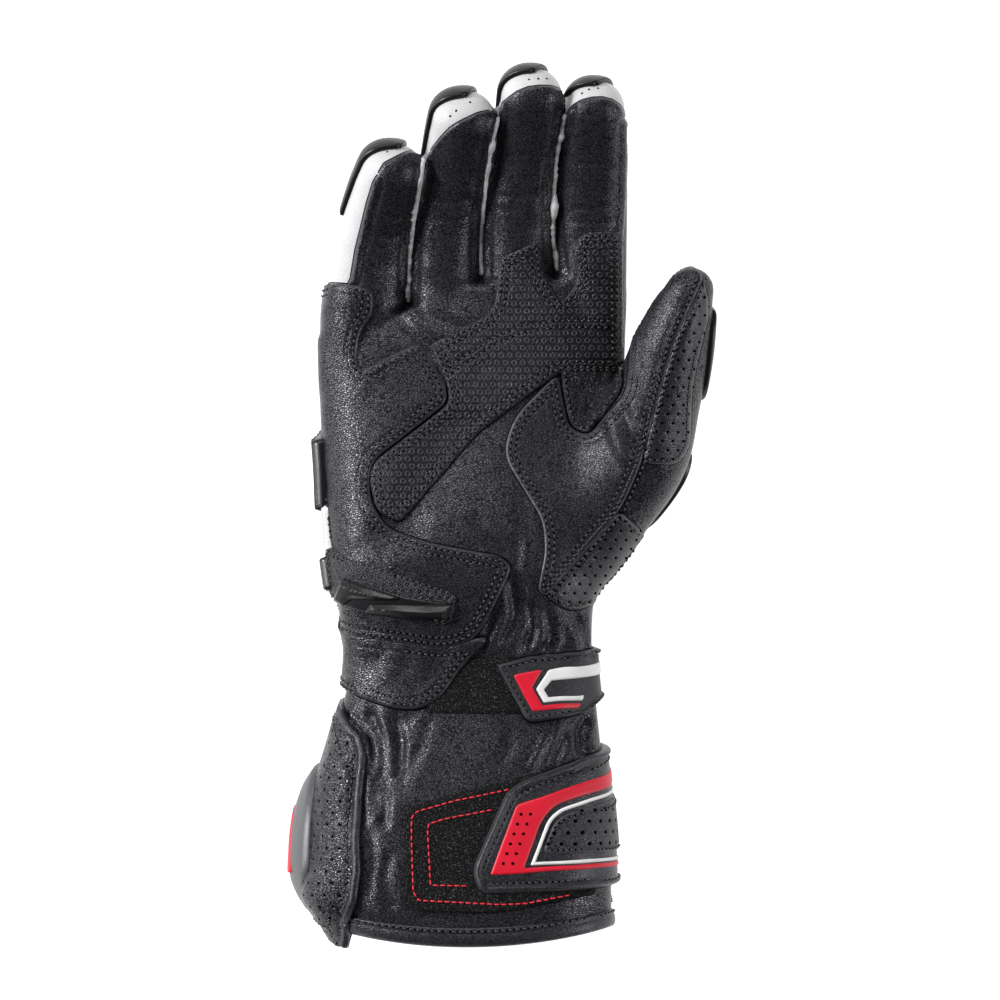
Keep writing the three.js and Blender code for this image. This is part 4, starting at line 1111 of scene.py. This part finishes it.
# The palm leather goes up the little finger, round a slit after each finger, and down the last.
LITTLE_LEFT = [
    (-51.2, 76.7), (-49.6, 86), (-47.4, 94.7), (-45.6, 101.8), (-43.4, 108.6), (-39.6, 115.1),
    (-32.5, 118.8), (-28.4, 119.9),
]
SLITS = [
    [(-26.5, 117.4), (-27.6, 108.6), (-30.0, 96.1), (-31.4, 83.5), (-31.6, 74.5), (-31.8, 67.8)],
    [(-0.9, 131.2), (-3.5, 121.4), (-5.3, 109.7), (-6.5, 98.6), (-7.0, 86.9), (-6.8, 77.2)],
    [(21.8, 132.0), (19.9, 124.3), (18.4, 116.0), (17.5, 99.8), (17.6, 90.0), (19.2, 78.4)],
]
FINGER_TOPS = [
    [(-25.7, 115.1), (-23.6, 120.0), (-20.6, 123.6), (-17.4, 126.8), (-13.8, 129.0), (-8, 131.8),
     (-2.6, 133.1)],
    [(0.5, 135.5), (5.3, 138.9), (9, 140.4), (13.1, 140.9), (17, 140.8), (20.9, 139.6)],
    [(22.4, 131.8), (24.0, 134.3), (27, 136), (30.4, 136.9), (34, 137.1), (37.2, 136.3), (40, 134.6),
     (42.0, 131.6)],
]
INDEX_RIGHT = [(42.9, 127.4), (42.7, 114), (42.1, 100.1), (41.4, 92)]
PALM_FOOT = [(41.0, 60), (36, 50), (10, 50), (-14, 44), (-21, 38), (-27, 48), (-46, 40), (-53, 50)]
HALF_SLIT = 0.55


def palm_outline():
    """The palm leather with the fronts of four fingers."""
    line = [(-54, 70)] + LITTLE_LEFT
    for slit, top in zip(SLITS, FINGER_TOPS):
        x, y = slit[-1]
        line += [(a - HALF_SLIT, b) for a, b in slit]
        line += [(x - 0.5, y - 1.4), (x + 0.5, y - 1.4)]
        line += [(a + HALF_SLIT, b) for a, b in reversed(slit)]
        line += top
    return np.array(line + INDEX_RIGHT + PALM_FOOT, float)


# Reliefs: height over a piece, from flat places and their distance from its edge.

DOUBLE = (1.3, 3.4)
SEAM_DEPTH, SEAM_WIDTH = 0.28, 0.45


def palm_relief(xy, d):
    """Raised seam beside each slit and down the outer fingers, and the folds of the fingers."""
    seams = SLITS + [INDEX_RIGHT, LITTLE_LEFT[:5]]
    near = np.min([polyline_distance(xy, line)[0] for line in seams], axis=0)
    up = smoothstep(xy[:, 1], 66, 76)
    height = up * (0.55 * bell(near, 1.5, 0.75) - 0.5 * bell(near, 3.3, 0.6))
    for line, width, depth in FINGER_FOLDS:
        height = height + crease(xy, line, width, depth)
    return height + 0.14 * ripple(xy, 11, 8)


def seam_relief(*insets, puff=0.12):
    """Grooves at distances inside the edge, where the piece is sewn down."""
    def relief(xy, d):
        grooves = sum(SEAM_DEPTH * bell(d, inset, SEAM_WIDTH) for inset in insets)
        return puff * ripple(xy, 13, 5) - grooves
    return relief


def grip_relief(xy, d):
    """A seam that runs across the grip panel as well."""
    near, _, _ = polyline_distance(xy, GRIP_SEAM)
    return seam_relief(*DOUBLE)(xy, d) - 0.45 * bell(near, 1.2, 0.5)


def crotch_relief(xy, d):
    """Short wrinkles in the crotch of the thumb."""
    return seam_relief(1.2)(xy, d) + 0.5 * ripple(xy, 5, 31, (0.6, 1.6))


def heel_relief(xy, d):
    """The heel panel lies flat where it goes round to the back."""
    return seam_relief(*DOUBLE)(xy, d) - 0.8 * smoothstep(-xy[:, 0], 50, 60)


def flap_relief(xy, d):
    """The side flap bulges where it reaches the cuff's mouth."""
    swell = 3.4 * smoothstep(-xy[:, 1], 120, 136) * smoothstep(-xy[:, 0], 52, 66)
    return seam_relief(3.2, puff=0.35)(xy, d) + swell


def rolled_border(width, height):
    """A bound edge that stands over the rest of the piece."""
    def relief(xy, d):
        roll = bell(d, 0.5 * width, 0.42 * width)
        return height * roll - 0.5 * height * bell(d, 1.15 * width, 0.4)
    return relief


def bevel(slope, rise):
    """A flat top with sloping sides."""
    return lambda xy, d: np.minimum(d * slope, rise)


def knuckle_relief(xy, d):
    """A smooth bulge over an ellipse, and a groove inside the edge."""
    away = (((xy - (-8, 40)) / (46, 16)) ** 2).sum(1)
    return 3.6 * np.clip(1 - away, 0, 1) ** 0.8 - 0.8 * bell(d, 5, 0.8)


# The cuff's plate: the x of its inner edge, and its bevel.
PLATE_EDGE, PLATE_SLOPE, PLATE_RISE = -68, 0.42, 5.2


def plate_line_relief(xy, d):
    """The line follows the plate's slope from the plate's own edge."""
    return np.minimum(PLATE_SLOPE * (PLATE_EDGE - xy[:, 0]), PLATE_RISE)


# Skin and lining.

# The white parts: y range on the little finger's side, and reach round each fingertip's middle.
WHITE_SIDE = (74, 125)
WHITE_REACH = 30


def white_measure(places):
    """How far in mm a place lies within the skin's white parts, less than 0 outside them."""
    best = np.full(len(places), -9.0)
    for name in FINGERS:
        last = DIGITS[name][2][-1]
        middle, along, side, pad = (v[0] for v in digit_frame(name, [last[0]]))
        offset = places - middle
        a, p, s = offset @ along, offset @ pad, offset @ side
        inside = np.minimum(a + 6, p + 5 + 0.45 * a + 0.35 * np.clip(s, 0, 8))
        inside = np.minimum(inside, last[3] + 2 - np.abs(s))
        inside = np.minimum(inside, WHITE_REACH - np.linalg.norm(offset, axis=1))
        best = np.maximum(best, inside)
    y = places[:, 1]
    little_x, little_z = (column(DIGITS["little"][2], i, y) for i in (1, 2))
    side = np.minimum(np.minimum(y - WHITE_SIDE[0], WHITE_SIDE[1] - y), little_x - places[:, 0])
    return np.maximum(best, np.minimum(side, places[:, 2] - little_z + 5.5))


def cut_open(points, tris, inward):
    """A body's points and triangles without what lies past the cuff's mouth."""
    centre = points[tris].mean(1)
    kept = tris[centre[:, 1] > MOUTH["y"] + mouth_bow(centre[:, 0]) + inward]
    used, faces = np.unique(kept, return_inverse=True)
    return points[used], faces.reshape(-1, 3)


def glove_skin():
    """The whole skin, open at the cuff. White at the fingertips and on the little finger's side."""
    points, faces = cut_open(base.points, base.tris, 2)
    obj = make_object("glove_skin", points, faces.tolist())
    add_layer(obj, "white", white_measure(points))
    return finish(obj, skin_leather, "back_leather", "cuff_leather", "little_tip", "ring_tip",
                  "middle_tip", "index_tip", "little_side")


def glove_lining():
    """The cloth inside, seen through the cuff."""
    points, tris, _ = remeshed(hand_form(-2.2), 2.4, 3)
    points, faces = cut_open(points, tris, 3)
    finish(make_object("glove_lining", points, faces[:, ::-1].tolist()), lining)


skin = glove_skin()
glove_lining()

# Panels that can carry stitches. Blades stand on the slider, and prints on the straps.
HARD = {"wrap": True, "rim": HARD_RIM}
BLADE = {**HARD, "cell": 0.35, "edge": 0.3, "lift": 4.2, "smooth": False}
PRINT = {"wrap": True, "edge": 0.3, "rim": PRINT_RIM}
ON_STRAP = {**PRINT, "lift": 2.3}

panels = [
    panel("palm_front", palm_outline(), 0.8, black_leather, "palm_leather", relief=palm_relief),
    panel("thenar_front", THENAR, 1.0, thumb_leather, "thenar_panel", relief=seam_relief(*DOUBLE)),
    panel("vent_lower", VENT_LOWER, 0.8, vent_leather, "thumb_vent_lower", relief=seam_relief(1.3)),
    panel("vent_upper", VENT_UPPER, 0.8, vent_leather, "thumb_vent_upper", relief=seam_relief(1.3)),
    panel("grip_overlay", GRIP, 1.8, grip_leather, "grip_panel", cell=0.6, relief=grip_relief),
    panel("crotch_patch", CROTCH, 1.9, patch_leather, "web_patch", relief=crotch_relief),
    panel("heel_overlay", HEEL, 2.3, black_leather, "heel_panel", cell=0.6, wrap=True,
          relief=heel_relief),
    panel("slider_strip", BED, 3.4, bed_leather, "slider_bed", cell=0.6, wrap=True,
          relief=seam_relief(1.0)),
    panel("wrist_flap_cover", FLAP, 2.2, black_leather, "wrist_flap", cell=0.6, wrap=True,
          relief=seam_relief(*DOUBLE, puff=0.4)),
    panel("wrist_loops", WRIST_LOOP, 1.0, loop_cloth, "wrist_loop_patch", wrap=True),
    panel("cuff_loops", CUFF_LOOP, 1.2, loop_cloth, "cuff_loop_patch", wrap=True),
    panel("wrist_strap_band", WRIST_STRAP, 2.4, strap_leather, "wrist_strap", cell=0.5, wrap=True,
          relief=rolled_border(1.3, 0.5)),
    panel("cuff_strap_band", CUFF_STRAP, 2.4, smooth_leather, "cuff_strap", cell=0.5, edge=1.6,
          wrap=True, relief=rolled_border(2.6, 1.0)),
    panel("side_flap_cover", SIDE_FLAP, 1.8, flap_leather, "cuff_side_flap", wrap=True,
          relief=flap_relief),
    panel("slider_plate", SLIDER, 4.4, hard_black, "palm_slider", cell=0.4, edge=0.6, **HARD),
    panel("slider_blade_upper", UPPER_BLADE, 0.8, hard_black, relief=bevel(0.9, 1.5), **BLADE),
    panel("slider_blade_lower", LOWER_BLADE, 0.8, hard_black, relief=bevel(0.75, 1.5), **BLADE),
    panel("wrist_red", WRIST_RED, 0.4, red_print, "wrist_strap_badge", cell=0.4, **ON_STRAP),
    panel("wrist_white", WRIST_WHITE, 0.5, white_print, cell=0.35, **ON_STRAP),
    panel("cuff_red", CUFF_RED, 0.5, red_print, "cuff_badge", cell=0.45, **ON_STRAP),
    panel("cuff_stripe", CUFF_WHITE, 0.6, white_print, cell=0.3, **ON_STRAP),
    panel("cuff_pad", CUFF_PAD, 1.1, pad_leather, cell=0.6, edge=1.0, lift=2.2, wrap=True,
          relief=seam_relief(1.4)),
]

# The back of the hand and the cuff's plate, continued plainly from what their edges show.
KNUCKLE = rounded([
    (-71, -3, 1), (-71, 22, 1), (-62, 24, 2), (-54, 36, 6), (-38, 46, 6), (-16, 52, 6), (14, 54, 6),
    (36, 50, 5), (42, 34, 6), (12, 31, 8), (-22, 26, 8), (-44, 8, 6),
])
BACK_PANEL = rounded([
    (-72.5, -20, 3), (-72.5, -1, 2), (-44.6, 6, 6), (-22.4, 24, 8), (9.8, 29.5, 8), (38, 32, 5),
    (34, 8, 8), (-4, -10, 10), (-30, -17, 6),
])
KNOB = rounded([(-71.5, -29, 1), (-71.5, -17.5, 1), (-54, -18, 3), (-38, -22, 4), (-40, -31, 4)])
PLATE = rounded([
    (-118, -92, 8), (-88, -86, 8), (-72, -90, 6), (PLATE_EDGE, -104, 8), (PLATE_EDGE, -126, 8),
    (-74, -138, 6), (-92, -141, 8), (-118, -134, 8),
])
PLATE_LINE = rounded([
    (-80.6, -104, 0.4), (-78.4, -108, 0.6), (-77.6, -126, 0.4), (-80.6, -126, 0.4), (-81.4, -116, 0.8),
])
BEHIND = {"face": -1, "wrap": True, "exact": True}

panel("knuckle_shield", KNUCKLE, 5.4, hard_black, "knuckle_guard", cell=0.9, edge=1.0, rim=HARD_RIM,
      relief=knuckle_relief, **BEHIND)
panel("back_white", BACK_PANEL, 3.4, white_leather, "back_panel", edge=1.6, relief=seam_relief(1.6),
      **BEHIND)
panel("wrist_knob", KNOB, 5.4, hard_black, "wrist_knob_guard", edge=1.2, rim=HARD_RIM, **BEHIND)
panel("cuff_shield", PLATE, 2.4, hard_grey, "cuff_plate", cell=0.8, edge=1.2, lift=1.0, exact=True,
      relief=bevel(PLATE_SLOPE, PLATE_RISE), **HARD)
panel("cuff_shield_line", PLATE_LINE, 0.4, red_print, cell=0.4, lift=3.3, exact=True,
      relief=plate_line_relief, **PRINT)


# Piping, binding and moulded guards.

def tube(name, points, ups, radius, look, *nodes, around=10, squash=1.0):
    """A rolled cord along points, each given with the direction that is up there."""
    along = unit(np.gradient(points, axis=0))
    side = unit(np.cross(along, ups))
    up = np.cross(side, along)
    turns = np.linspace(0, ROUND, around, endpoint=False)
    size = np.array(np.broadcast_to(radius, len(points)), float)
    size[[0, -1]] *= 0.25
    c, s = np.cos(turns)[:, None], np.sin(turns)[:, None]
    rings = [p + side[i] * (c * size[i]) + up[i] * (s * size[i] * squash) for i, p in enumerate(points)]
    return finish(make_object(name, *closed_loft(rings)), look, *nodes)


def flap_piping():
    """The rolled cord along the side flap's edge."""
    hits, normals = locate(resampled(PIPING, 1.2), True)
    return tube("flap_edge_roll", hits + normals * 1.5, normals, 1.55, smooth_leather, "flap_piping")


# The binding's profile: inward from the mouth, and out from the cuff.
HEM_PROFILE = [
    (6.6, -0.3), (6.5, 0.6), (6.0, 1.0), (5.2, 1.1), (4.6, 0.85), (4.0, 1.15), (2.4, 1.35), (1.0, 1.35),
    (0.1, 0.9), (-0.2, 0.0), (-0.1, -1.2), (0.6, -2.2), (3.0, -2.6), (5.6, -2.6), (6.0, -2.3),
]


HEM_AROUND = 160


def hem():
    """The binding folded round the cuff's mouth."""
    turns = np.linspace(0, ROUND, HEM_AROUND, endpoint=False)
    rings = []
    for inward, out in HEM_PROFILE:
        y = MOUTH["y"] + inward
        step = trunk_point(turns + 0.01, y) - trunk_point(turns - 0.01, y)
        normal = unit(np.stack([step[:, 2], np.zeros(len(turns)), -step[:, 0]], -1))
        rings.append(trunk_point(turns, y) + normal * out)
    faces = loft_faces(len(rings), len(turns))
    return finish(make_object("hem_fold", np.concatenate(rings), faces), smooth_leather, "hem_binding")


panels += [flap_piping(), hem()]

# Moulded guards: grid, width of the firm edge, bulge of the middle and rough radius of a digit.
SHELL_GRID = (44, 56)
SHELL_EDGE, SHELL_BULGE, SHELL_RADIUS = 1.6, 0.35, 11


def digit_shell(name, digit, v_range, turn_range, rise, node, ease=0.0):
    """A moulded guard that follows a digit, thick in the middle, with a firm edge. It is narrower
    at its ends by ease."""
    rows, count = SHELL_GRID
    turns = np.radians(np.linspace(*turn_range, count))
    u, w = np.linspace(0, 1, rows)[:, None], np.linspace(0, 1, count)[None, :]
    edge_u = np.minimum(u, 1 if v_range[1] > 0 else 1 - u) * (v_range[1] - v_range[0])
    edge_w = np.minimum(w, 1 - w) * abs(turns[-1] - turns[0]) * SHELL_RADIUS
    edge = np.clip(np.minimum(edge_u, edge_w) / SHELL_EDGE, 0, 1)
    swell = 1 + SHELL_BULGE * np.sin(np.pi * w) * np.sin(np.pi * np.clip(u, 0, 0.9))
    grow = rise * (0.72 + 0.28 * np.sqrt(1 - (1 - edge) ** 2)) * swell / (1 + SHELL_BULGE)
    v, turn = np.meshgrid(np.linspace(*v_range, rows), turns, indexing="ij")
    turn = turn.mean() + (turn - turn.mean()) * (1 - ease * np.abs(2 * u - 1) ** 4)
    skin_points = digit_point(digit, v, turn)
    way = digit_point(digit, v, turn, 1.0) - skin_points
    points = np.concatenate([skin_points + way * grow[..., None], skin_points + way * 0.1])
    index = np.arange(rows * count).reshape(rows, count)
    faces = [
        (index[i, j], index[i, j + 1], index[i + 1, j + 1], index[i + 1, j])
        for i in range(rows - 1) for j in range(count - 1)
    ]
    loop = [*index[0], *index[1:, -1], *index[-1, -2::-1], *index[-2:0:-1, 0]]
    lower = rows * count
    faces += [(b, a, a + lower, b + lower) for a, b in zip(loop, loop[1:] + loop[:1])]
    faces = [tuple(int(v) for v in face) for face in faces]
    finish(make_object(name, points.reshape(-1, 3), faces), hard_black, node)


for finger in FINGERS:
    reach = (-17, DIGITS[finger][1] * 1.5)
    digit_shell(f"{finger}_tip_shield", finger, reach, (-172, -58), 2.1, f"{finger}_nail")
digit_shell("thumb_tip_shield", "thumb", (-33, -3), (-165, -18), 1.9, "thumb_tip_guard", 0.35)
digit_shell("thumb_joint_shield", "thumb", (-72, -49), (-100, -26), 2.6, "thumb_joint_guard", 0.45)


def finger_seam(number, slit):
    """The raw, uneven edge that stands between two fingers."""
    line = resampled(slit, 0.7)
    heights = []
    for side in (-1.3, 1.3):
        hit, hits, _ = base.below(line + [side, 0])
        heights.append(np.where(hit, hits[:, 2], 20))
    z = np.convolve(np.pad(np.maximum(*heights), 4, mode="edge"), np.ones(9) / 9, mode="valid")
    draws = np.random.default_rng(20 + number).normal(0, 1, len(z) + 4)
    uneven = np.convolve(draws, np.ones(5) / 5, mode="valid")
    points = np.column_stack([line[:, 0] + 0.28 * uneven, line[:, 1], z - 0.1 + 0.2 * uneven])
    ups = np.tile([0.0, 0.0, 1.0], (len(points), 1))
    radius = 0.75 + 0.5 * np.abs(uneven)
    tube(f"finger_seam_{number + 1}", points, ups, radius, edge_grey, squash=1.8)


for number, slit in enumerate(SLITS):
    finger_seam(number, slit)


# Stitches and punched holes lie on whatever is outermost.

def outermost():
    """The skin and all the panels as one surface."""
    points, tris, normals, start = [], [], [], 0
    for obj in panels + [skin]:
        some, their, ways = triangles_of(obj.data)
        points.append(some)
        tris.append(their + start)
        normals.append(ways)
        start += len(some)
    return Surface(np.concatenate(points), np.concatenate(tris), np.concatenate(normals))


top = outermost()


DOT_SIDES, DOT_OVER = 8, 0.09


def dots(name, middles, ups, radius, slot="black_leather"):
    """Small black discs over openings on a surface: painted shade inside them."""
    side = unit(np.cross(ups, [0.3, 1.0, 0.2]))
    other = np.cross(ups, side)
    turns = np.linspace(0, ROUND, DOT_SIDES, endpoint=False)
    over = middles + ups * DOT_OVER
    ring = [over + (side * math.cos(t) + other * math.sin(t)) * radius for t in turns]
    faces = [tuple(range(k * DOT_SIDES, (k + 1) * DOT_SIDES)) for k in range(len(middles))]
    points = np.stack(ring, 1).reshape(-1, 3)
    finish(make_object(name, points, faces), needle_hole, slot=slot)


# A stitch: share of its length, size and height in mm of each ring.
STITCH = ((0.0, 0.35, -0.22), (0.16, 0.9, 0.02), (0.5, 1.0, 0.14), (0.84, 0.9, 0.02), (1.0, 0.35, -0.22))
STITCH_AROUND = 6
STITCH_LONGEST = 1.3
NEEDLE_RADIUS = 0.35


def stitches(name, lines, look=black_thread, pitch=2.2, radius=0.38, length=0.62, wrap=False, above=0.0,
             holed=True):
    """Rows of thread stitches along flat lines, with the needle's hole after each."""
    starts, ends = [], []
    for line in lines:
        at = resampled(line, pitch / 2)
        for a, b in zip(at[:-1:2], at[1::2]):
            middle, half = (a + b) / 2, b - a
            starts.append(middle - half * length)
            ends.append(middle + half * length)
    a, a_normal = locate(np.array(starts), wrap, surface=top)
    b, b_normal = locate(np.array(ends), wrap, surface=top)
    good = np.linalg.norm(b - a, axis=1) < pitch * STITCH_LONGEST
    a, b, up = a[good], b[good], unit(a_normal + b_normal)[good]
    side = unit(np.cross(unit(b - a), up))
    up = np.cross(side, unit(b - a))
    rings = []
    for share, size, height in STITCH:
        middle = a + (b - a) * share + up * (height + above)
        for turn in np.linspace(0, ROUND, STITCH_AROUND, endpoint=False):
            rings.append(middle + (side * math.cos(turn) + up * math.sin(turn)) * radius * size)
    points = np.stack(rings, 1)
    per = len(rings)
    one = loft_faces(len(STITCH), STITCH_AROUND)
    one += [tuple(range(STITCH_AROUND))[::-1], tuple(range(per - STITCH_AROUND, per))]
    faces = [tuple(v + k * per for v in f) for k in range(len(points)) for f in one]
    if holed:
        past = (b - a) * 0.5 * (1 / length - 1)
        dots(name.replace("stitch", "needle_holes"), b + past, up, NEEDLE_RADIUS)
    finish(make_object(name, points.reshape(-1, 3), faces), look)


# Left of this, what wraps round the trunk is out of sight.
SIGHT_LEFT = -72


def between(low, high, axis=0):
    """Keeps the places within a range."""
    return lambda p: (p[:, axis] > low) & (p[:, axis] < high)


def beside_slider(p):
    """Keeps the places that aren't under the slider, nor out of sight on the left."""
    return ~outline_distance(p, SLIDER)[2] & (p[:, 0] > SIGHT_LEFT)


def on_flap(p):
    """Keeps the lower side of the wrist flap, as far as it shows."""
    return (p[:, 1] < -50) & (p[:, 0] > SIGHT_LEFT)


def stitch_rows(name, outline, insets, keep=None, **row):
    """Rows of black stitches at distances inside an outline."""
    stitches(name, [line for inset in insets for line in inset_lines(outline, inset, keep)], **row)


def beside(line, offset):
    """The two lines at a distance on each side of a polyline."""
    line = resampled(line, 0.8)
    way = unit(np.gradient(line, axis=0))
    across = np.column_stack([way[:, 1], -way[:, 0]])
    return [line + across * offset, line - across * offset]


stitch_rows("stitch_heel", HEEL, (1.5, 3.6), between(-78, 60), wrap=True)
stitch_rows("stitch_grip", GRIP, (1.4, 3.3), between(-60, 39.5))
stitches("stitch_grip_seam", beside(GRIP_SEAM, 1.1))
stitch_rows("stitch_crotch", CROTCH, (1.2,))
stitch_rows("stitch_thenar", THENAR, (1.4, 3.2), between(-200, 44, axis=1))
stitches("stitch_thumb_seam", beside(THUMB_SEAM, 1.3))
stitch_rows("stitch_vent_lower", VENT_LOWER, (1.3,), between(0, 48))
stitch_rows("stitch_vent_upper", VENT_UPPER, (1.2,), between(0, 66))
stitch_rows("stitch_bed", BED, (1.0,), beside_slider, wrap=True)
stitch_rows("stitch_flap", FLAP, (1.5, 3.4), on_flap, wrap=True)
stitch_rows("stitch_wrist_strap", WRIST_STRAP, (1.7,), wrap=True)
stitch_rows("stitch_cuff_strap", CUFF_STRAP, (3.2,), wrap=True)
stitch_rows("stitch_pad", CUFF_PAD, (1.3,), wrap=True, pitch=2.0)
stitch_rows("stitch_side_flap", SIDE_FLAP, (3.6,), between(-100, 60), wrap=True, pitch=2.6)

RED_OUTER = [
    (2.9, -96.7), (-15.8, -100.5), (-28.7, -104.2), (-30.4, -106.3), (-30.4, -114.1), (-29.8, -131.1),
    (-28.1, -134.1), (-0.5, -135.5), (8.3, -135.2), (25.0, -132.1),
]
RED_INNER = [
    (-2.9, -103.5), (-19.2, -106.6), (-24.5, -108.3), (-25.0, -110.5), (-24.0, -128.7),
    (-22.8, -129.0), (-9.9, -129.2),
]
stitches("stitch_red", [RED_OUTER, RED_INNER], red_thread, 2.4, 0.26, 0.76, above=0.15, holed=False)
hem_line = [(x, MOUTH["y"] + 5.2 + mouth_bow(x)) for x in np.linspace(-60, 60, 61)]
stitches("stitch_hem", [hem_line], pitch=2.4, wrap=True)


TIP_HOLES = [
    (9.3, 143.1), (12.4, 143.4), (15.3, 143.5), (27.2, 138.6), (29.6, 139.9), (32.6, 140.3),
    (35.4, 140.6), (-17.3, 130.8), (-15.3, 132.6), (-10.6, 135.5), (-38.7, 119.1),
]


def punched(name, places, radius, slot):
    """Round openings on the outermost surface, as black discs: painted shade inside them."""
    hits, normals = locate(np.array(places, float), True, surface=top)
    dots(name, hits, normals, radius, slot)


red_rows = zip(np.linspace(6.6, 0.6, 6), np.linspace(-105, -121.6, 6))
punched("red_holes", [(x + side, y) for x, y in red_rows for side in (0, 3.2)], 0.55, "rubber_red")
punched("tip_holes", TIP_HOLES, 0.4, "white_leather")


# The floor, the light and the camera.

def floor():
    half = 3.0 / MM
    corners = [(-half, -half, 0), (half, -half, 0), (half, half, 0), (-half, half, 0)]
    obj = make_object("floor", corners, [(0, 1, 2, 3)], smooth=False)
    obj.data.materials.append(plain("floor_paper", (0.4, 0.4, 0.4), 0.9, 6.0, 0.05, 0.01,
                                    Emission_Color=(1, 1, 1, 1), Emission_Strength=0.97))


def sun(name, azimuth, elevation, strength, spread):
    """A soft light from a direction, azimuth 0 from the fingers' side and 90 from the left."""
    data = bpy.data.lights.new(name, "SUN")
    data.energy = strength
    data.angle = math.radians(spread)
    obj = bpy.data.objects.new(name, data)
    bpy.context.scene.collection.objects.link(obj)
    a, e = math.radians(azimuth), math.radians(elevation)
    way = Vector((-math.sin(a) * math.cos(e), math.cos(a) * math.cos(e), math.sin(e)))
    obj.rotation_euler = way.to_track_quat("Z", "Y").to_euler()


def studio_world():
    world = bpy.data.worlds.new("world")
    world.use_nodes = True
    background = world.node_tree.nodes["Background"]
    background.inputs["Color"].default_value = (1, 1, 1, 1)
    background.inputs["Strength"].default_value = 0.16
    bpy.context.scene.world = world


PIXEL, IMAGE = 0.34, 1000
LENS, SENSOR = 300.0, 36.0
AIM = (-0.5, 1.2, 40.0)


def camera():
    """A long lens, as far off as makes one pixel PIXEL mm at the height of AIM."""
    data = bpy.data.cameras.new("camera")
    data.lens, data.sensor_width = LENS, SENSOR
    data.clip_end = 20
    obj = bpy.data.objects.new("camera", data)
    bpy.context.scene.collection.objects.link(obj)
    distance = LENS / SENSOR * IMAGE * PIXEL
    obj.location = (AIM[0] * MM, AIM[1] * MM, (AIM[2] + distance) * MM)
    bpy.context.scene.camera = obj


floor()
studio_world()
camera()
sun("key", 72, 32, 5.2, 18)
sun("edge", 92, 9, 0.9, 12)
sun("top", 8, 40, 1.7, 26)
sun("fill", -100, 26, 1.9, 26)
bpy.context.scene.view_settings.view_transform = "Standard"
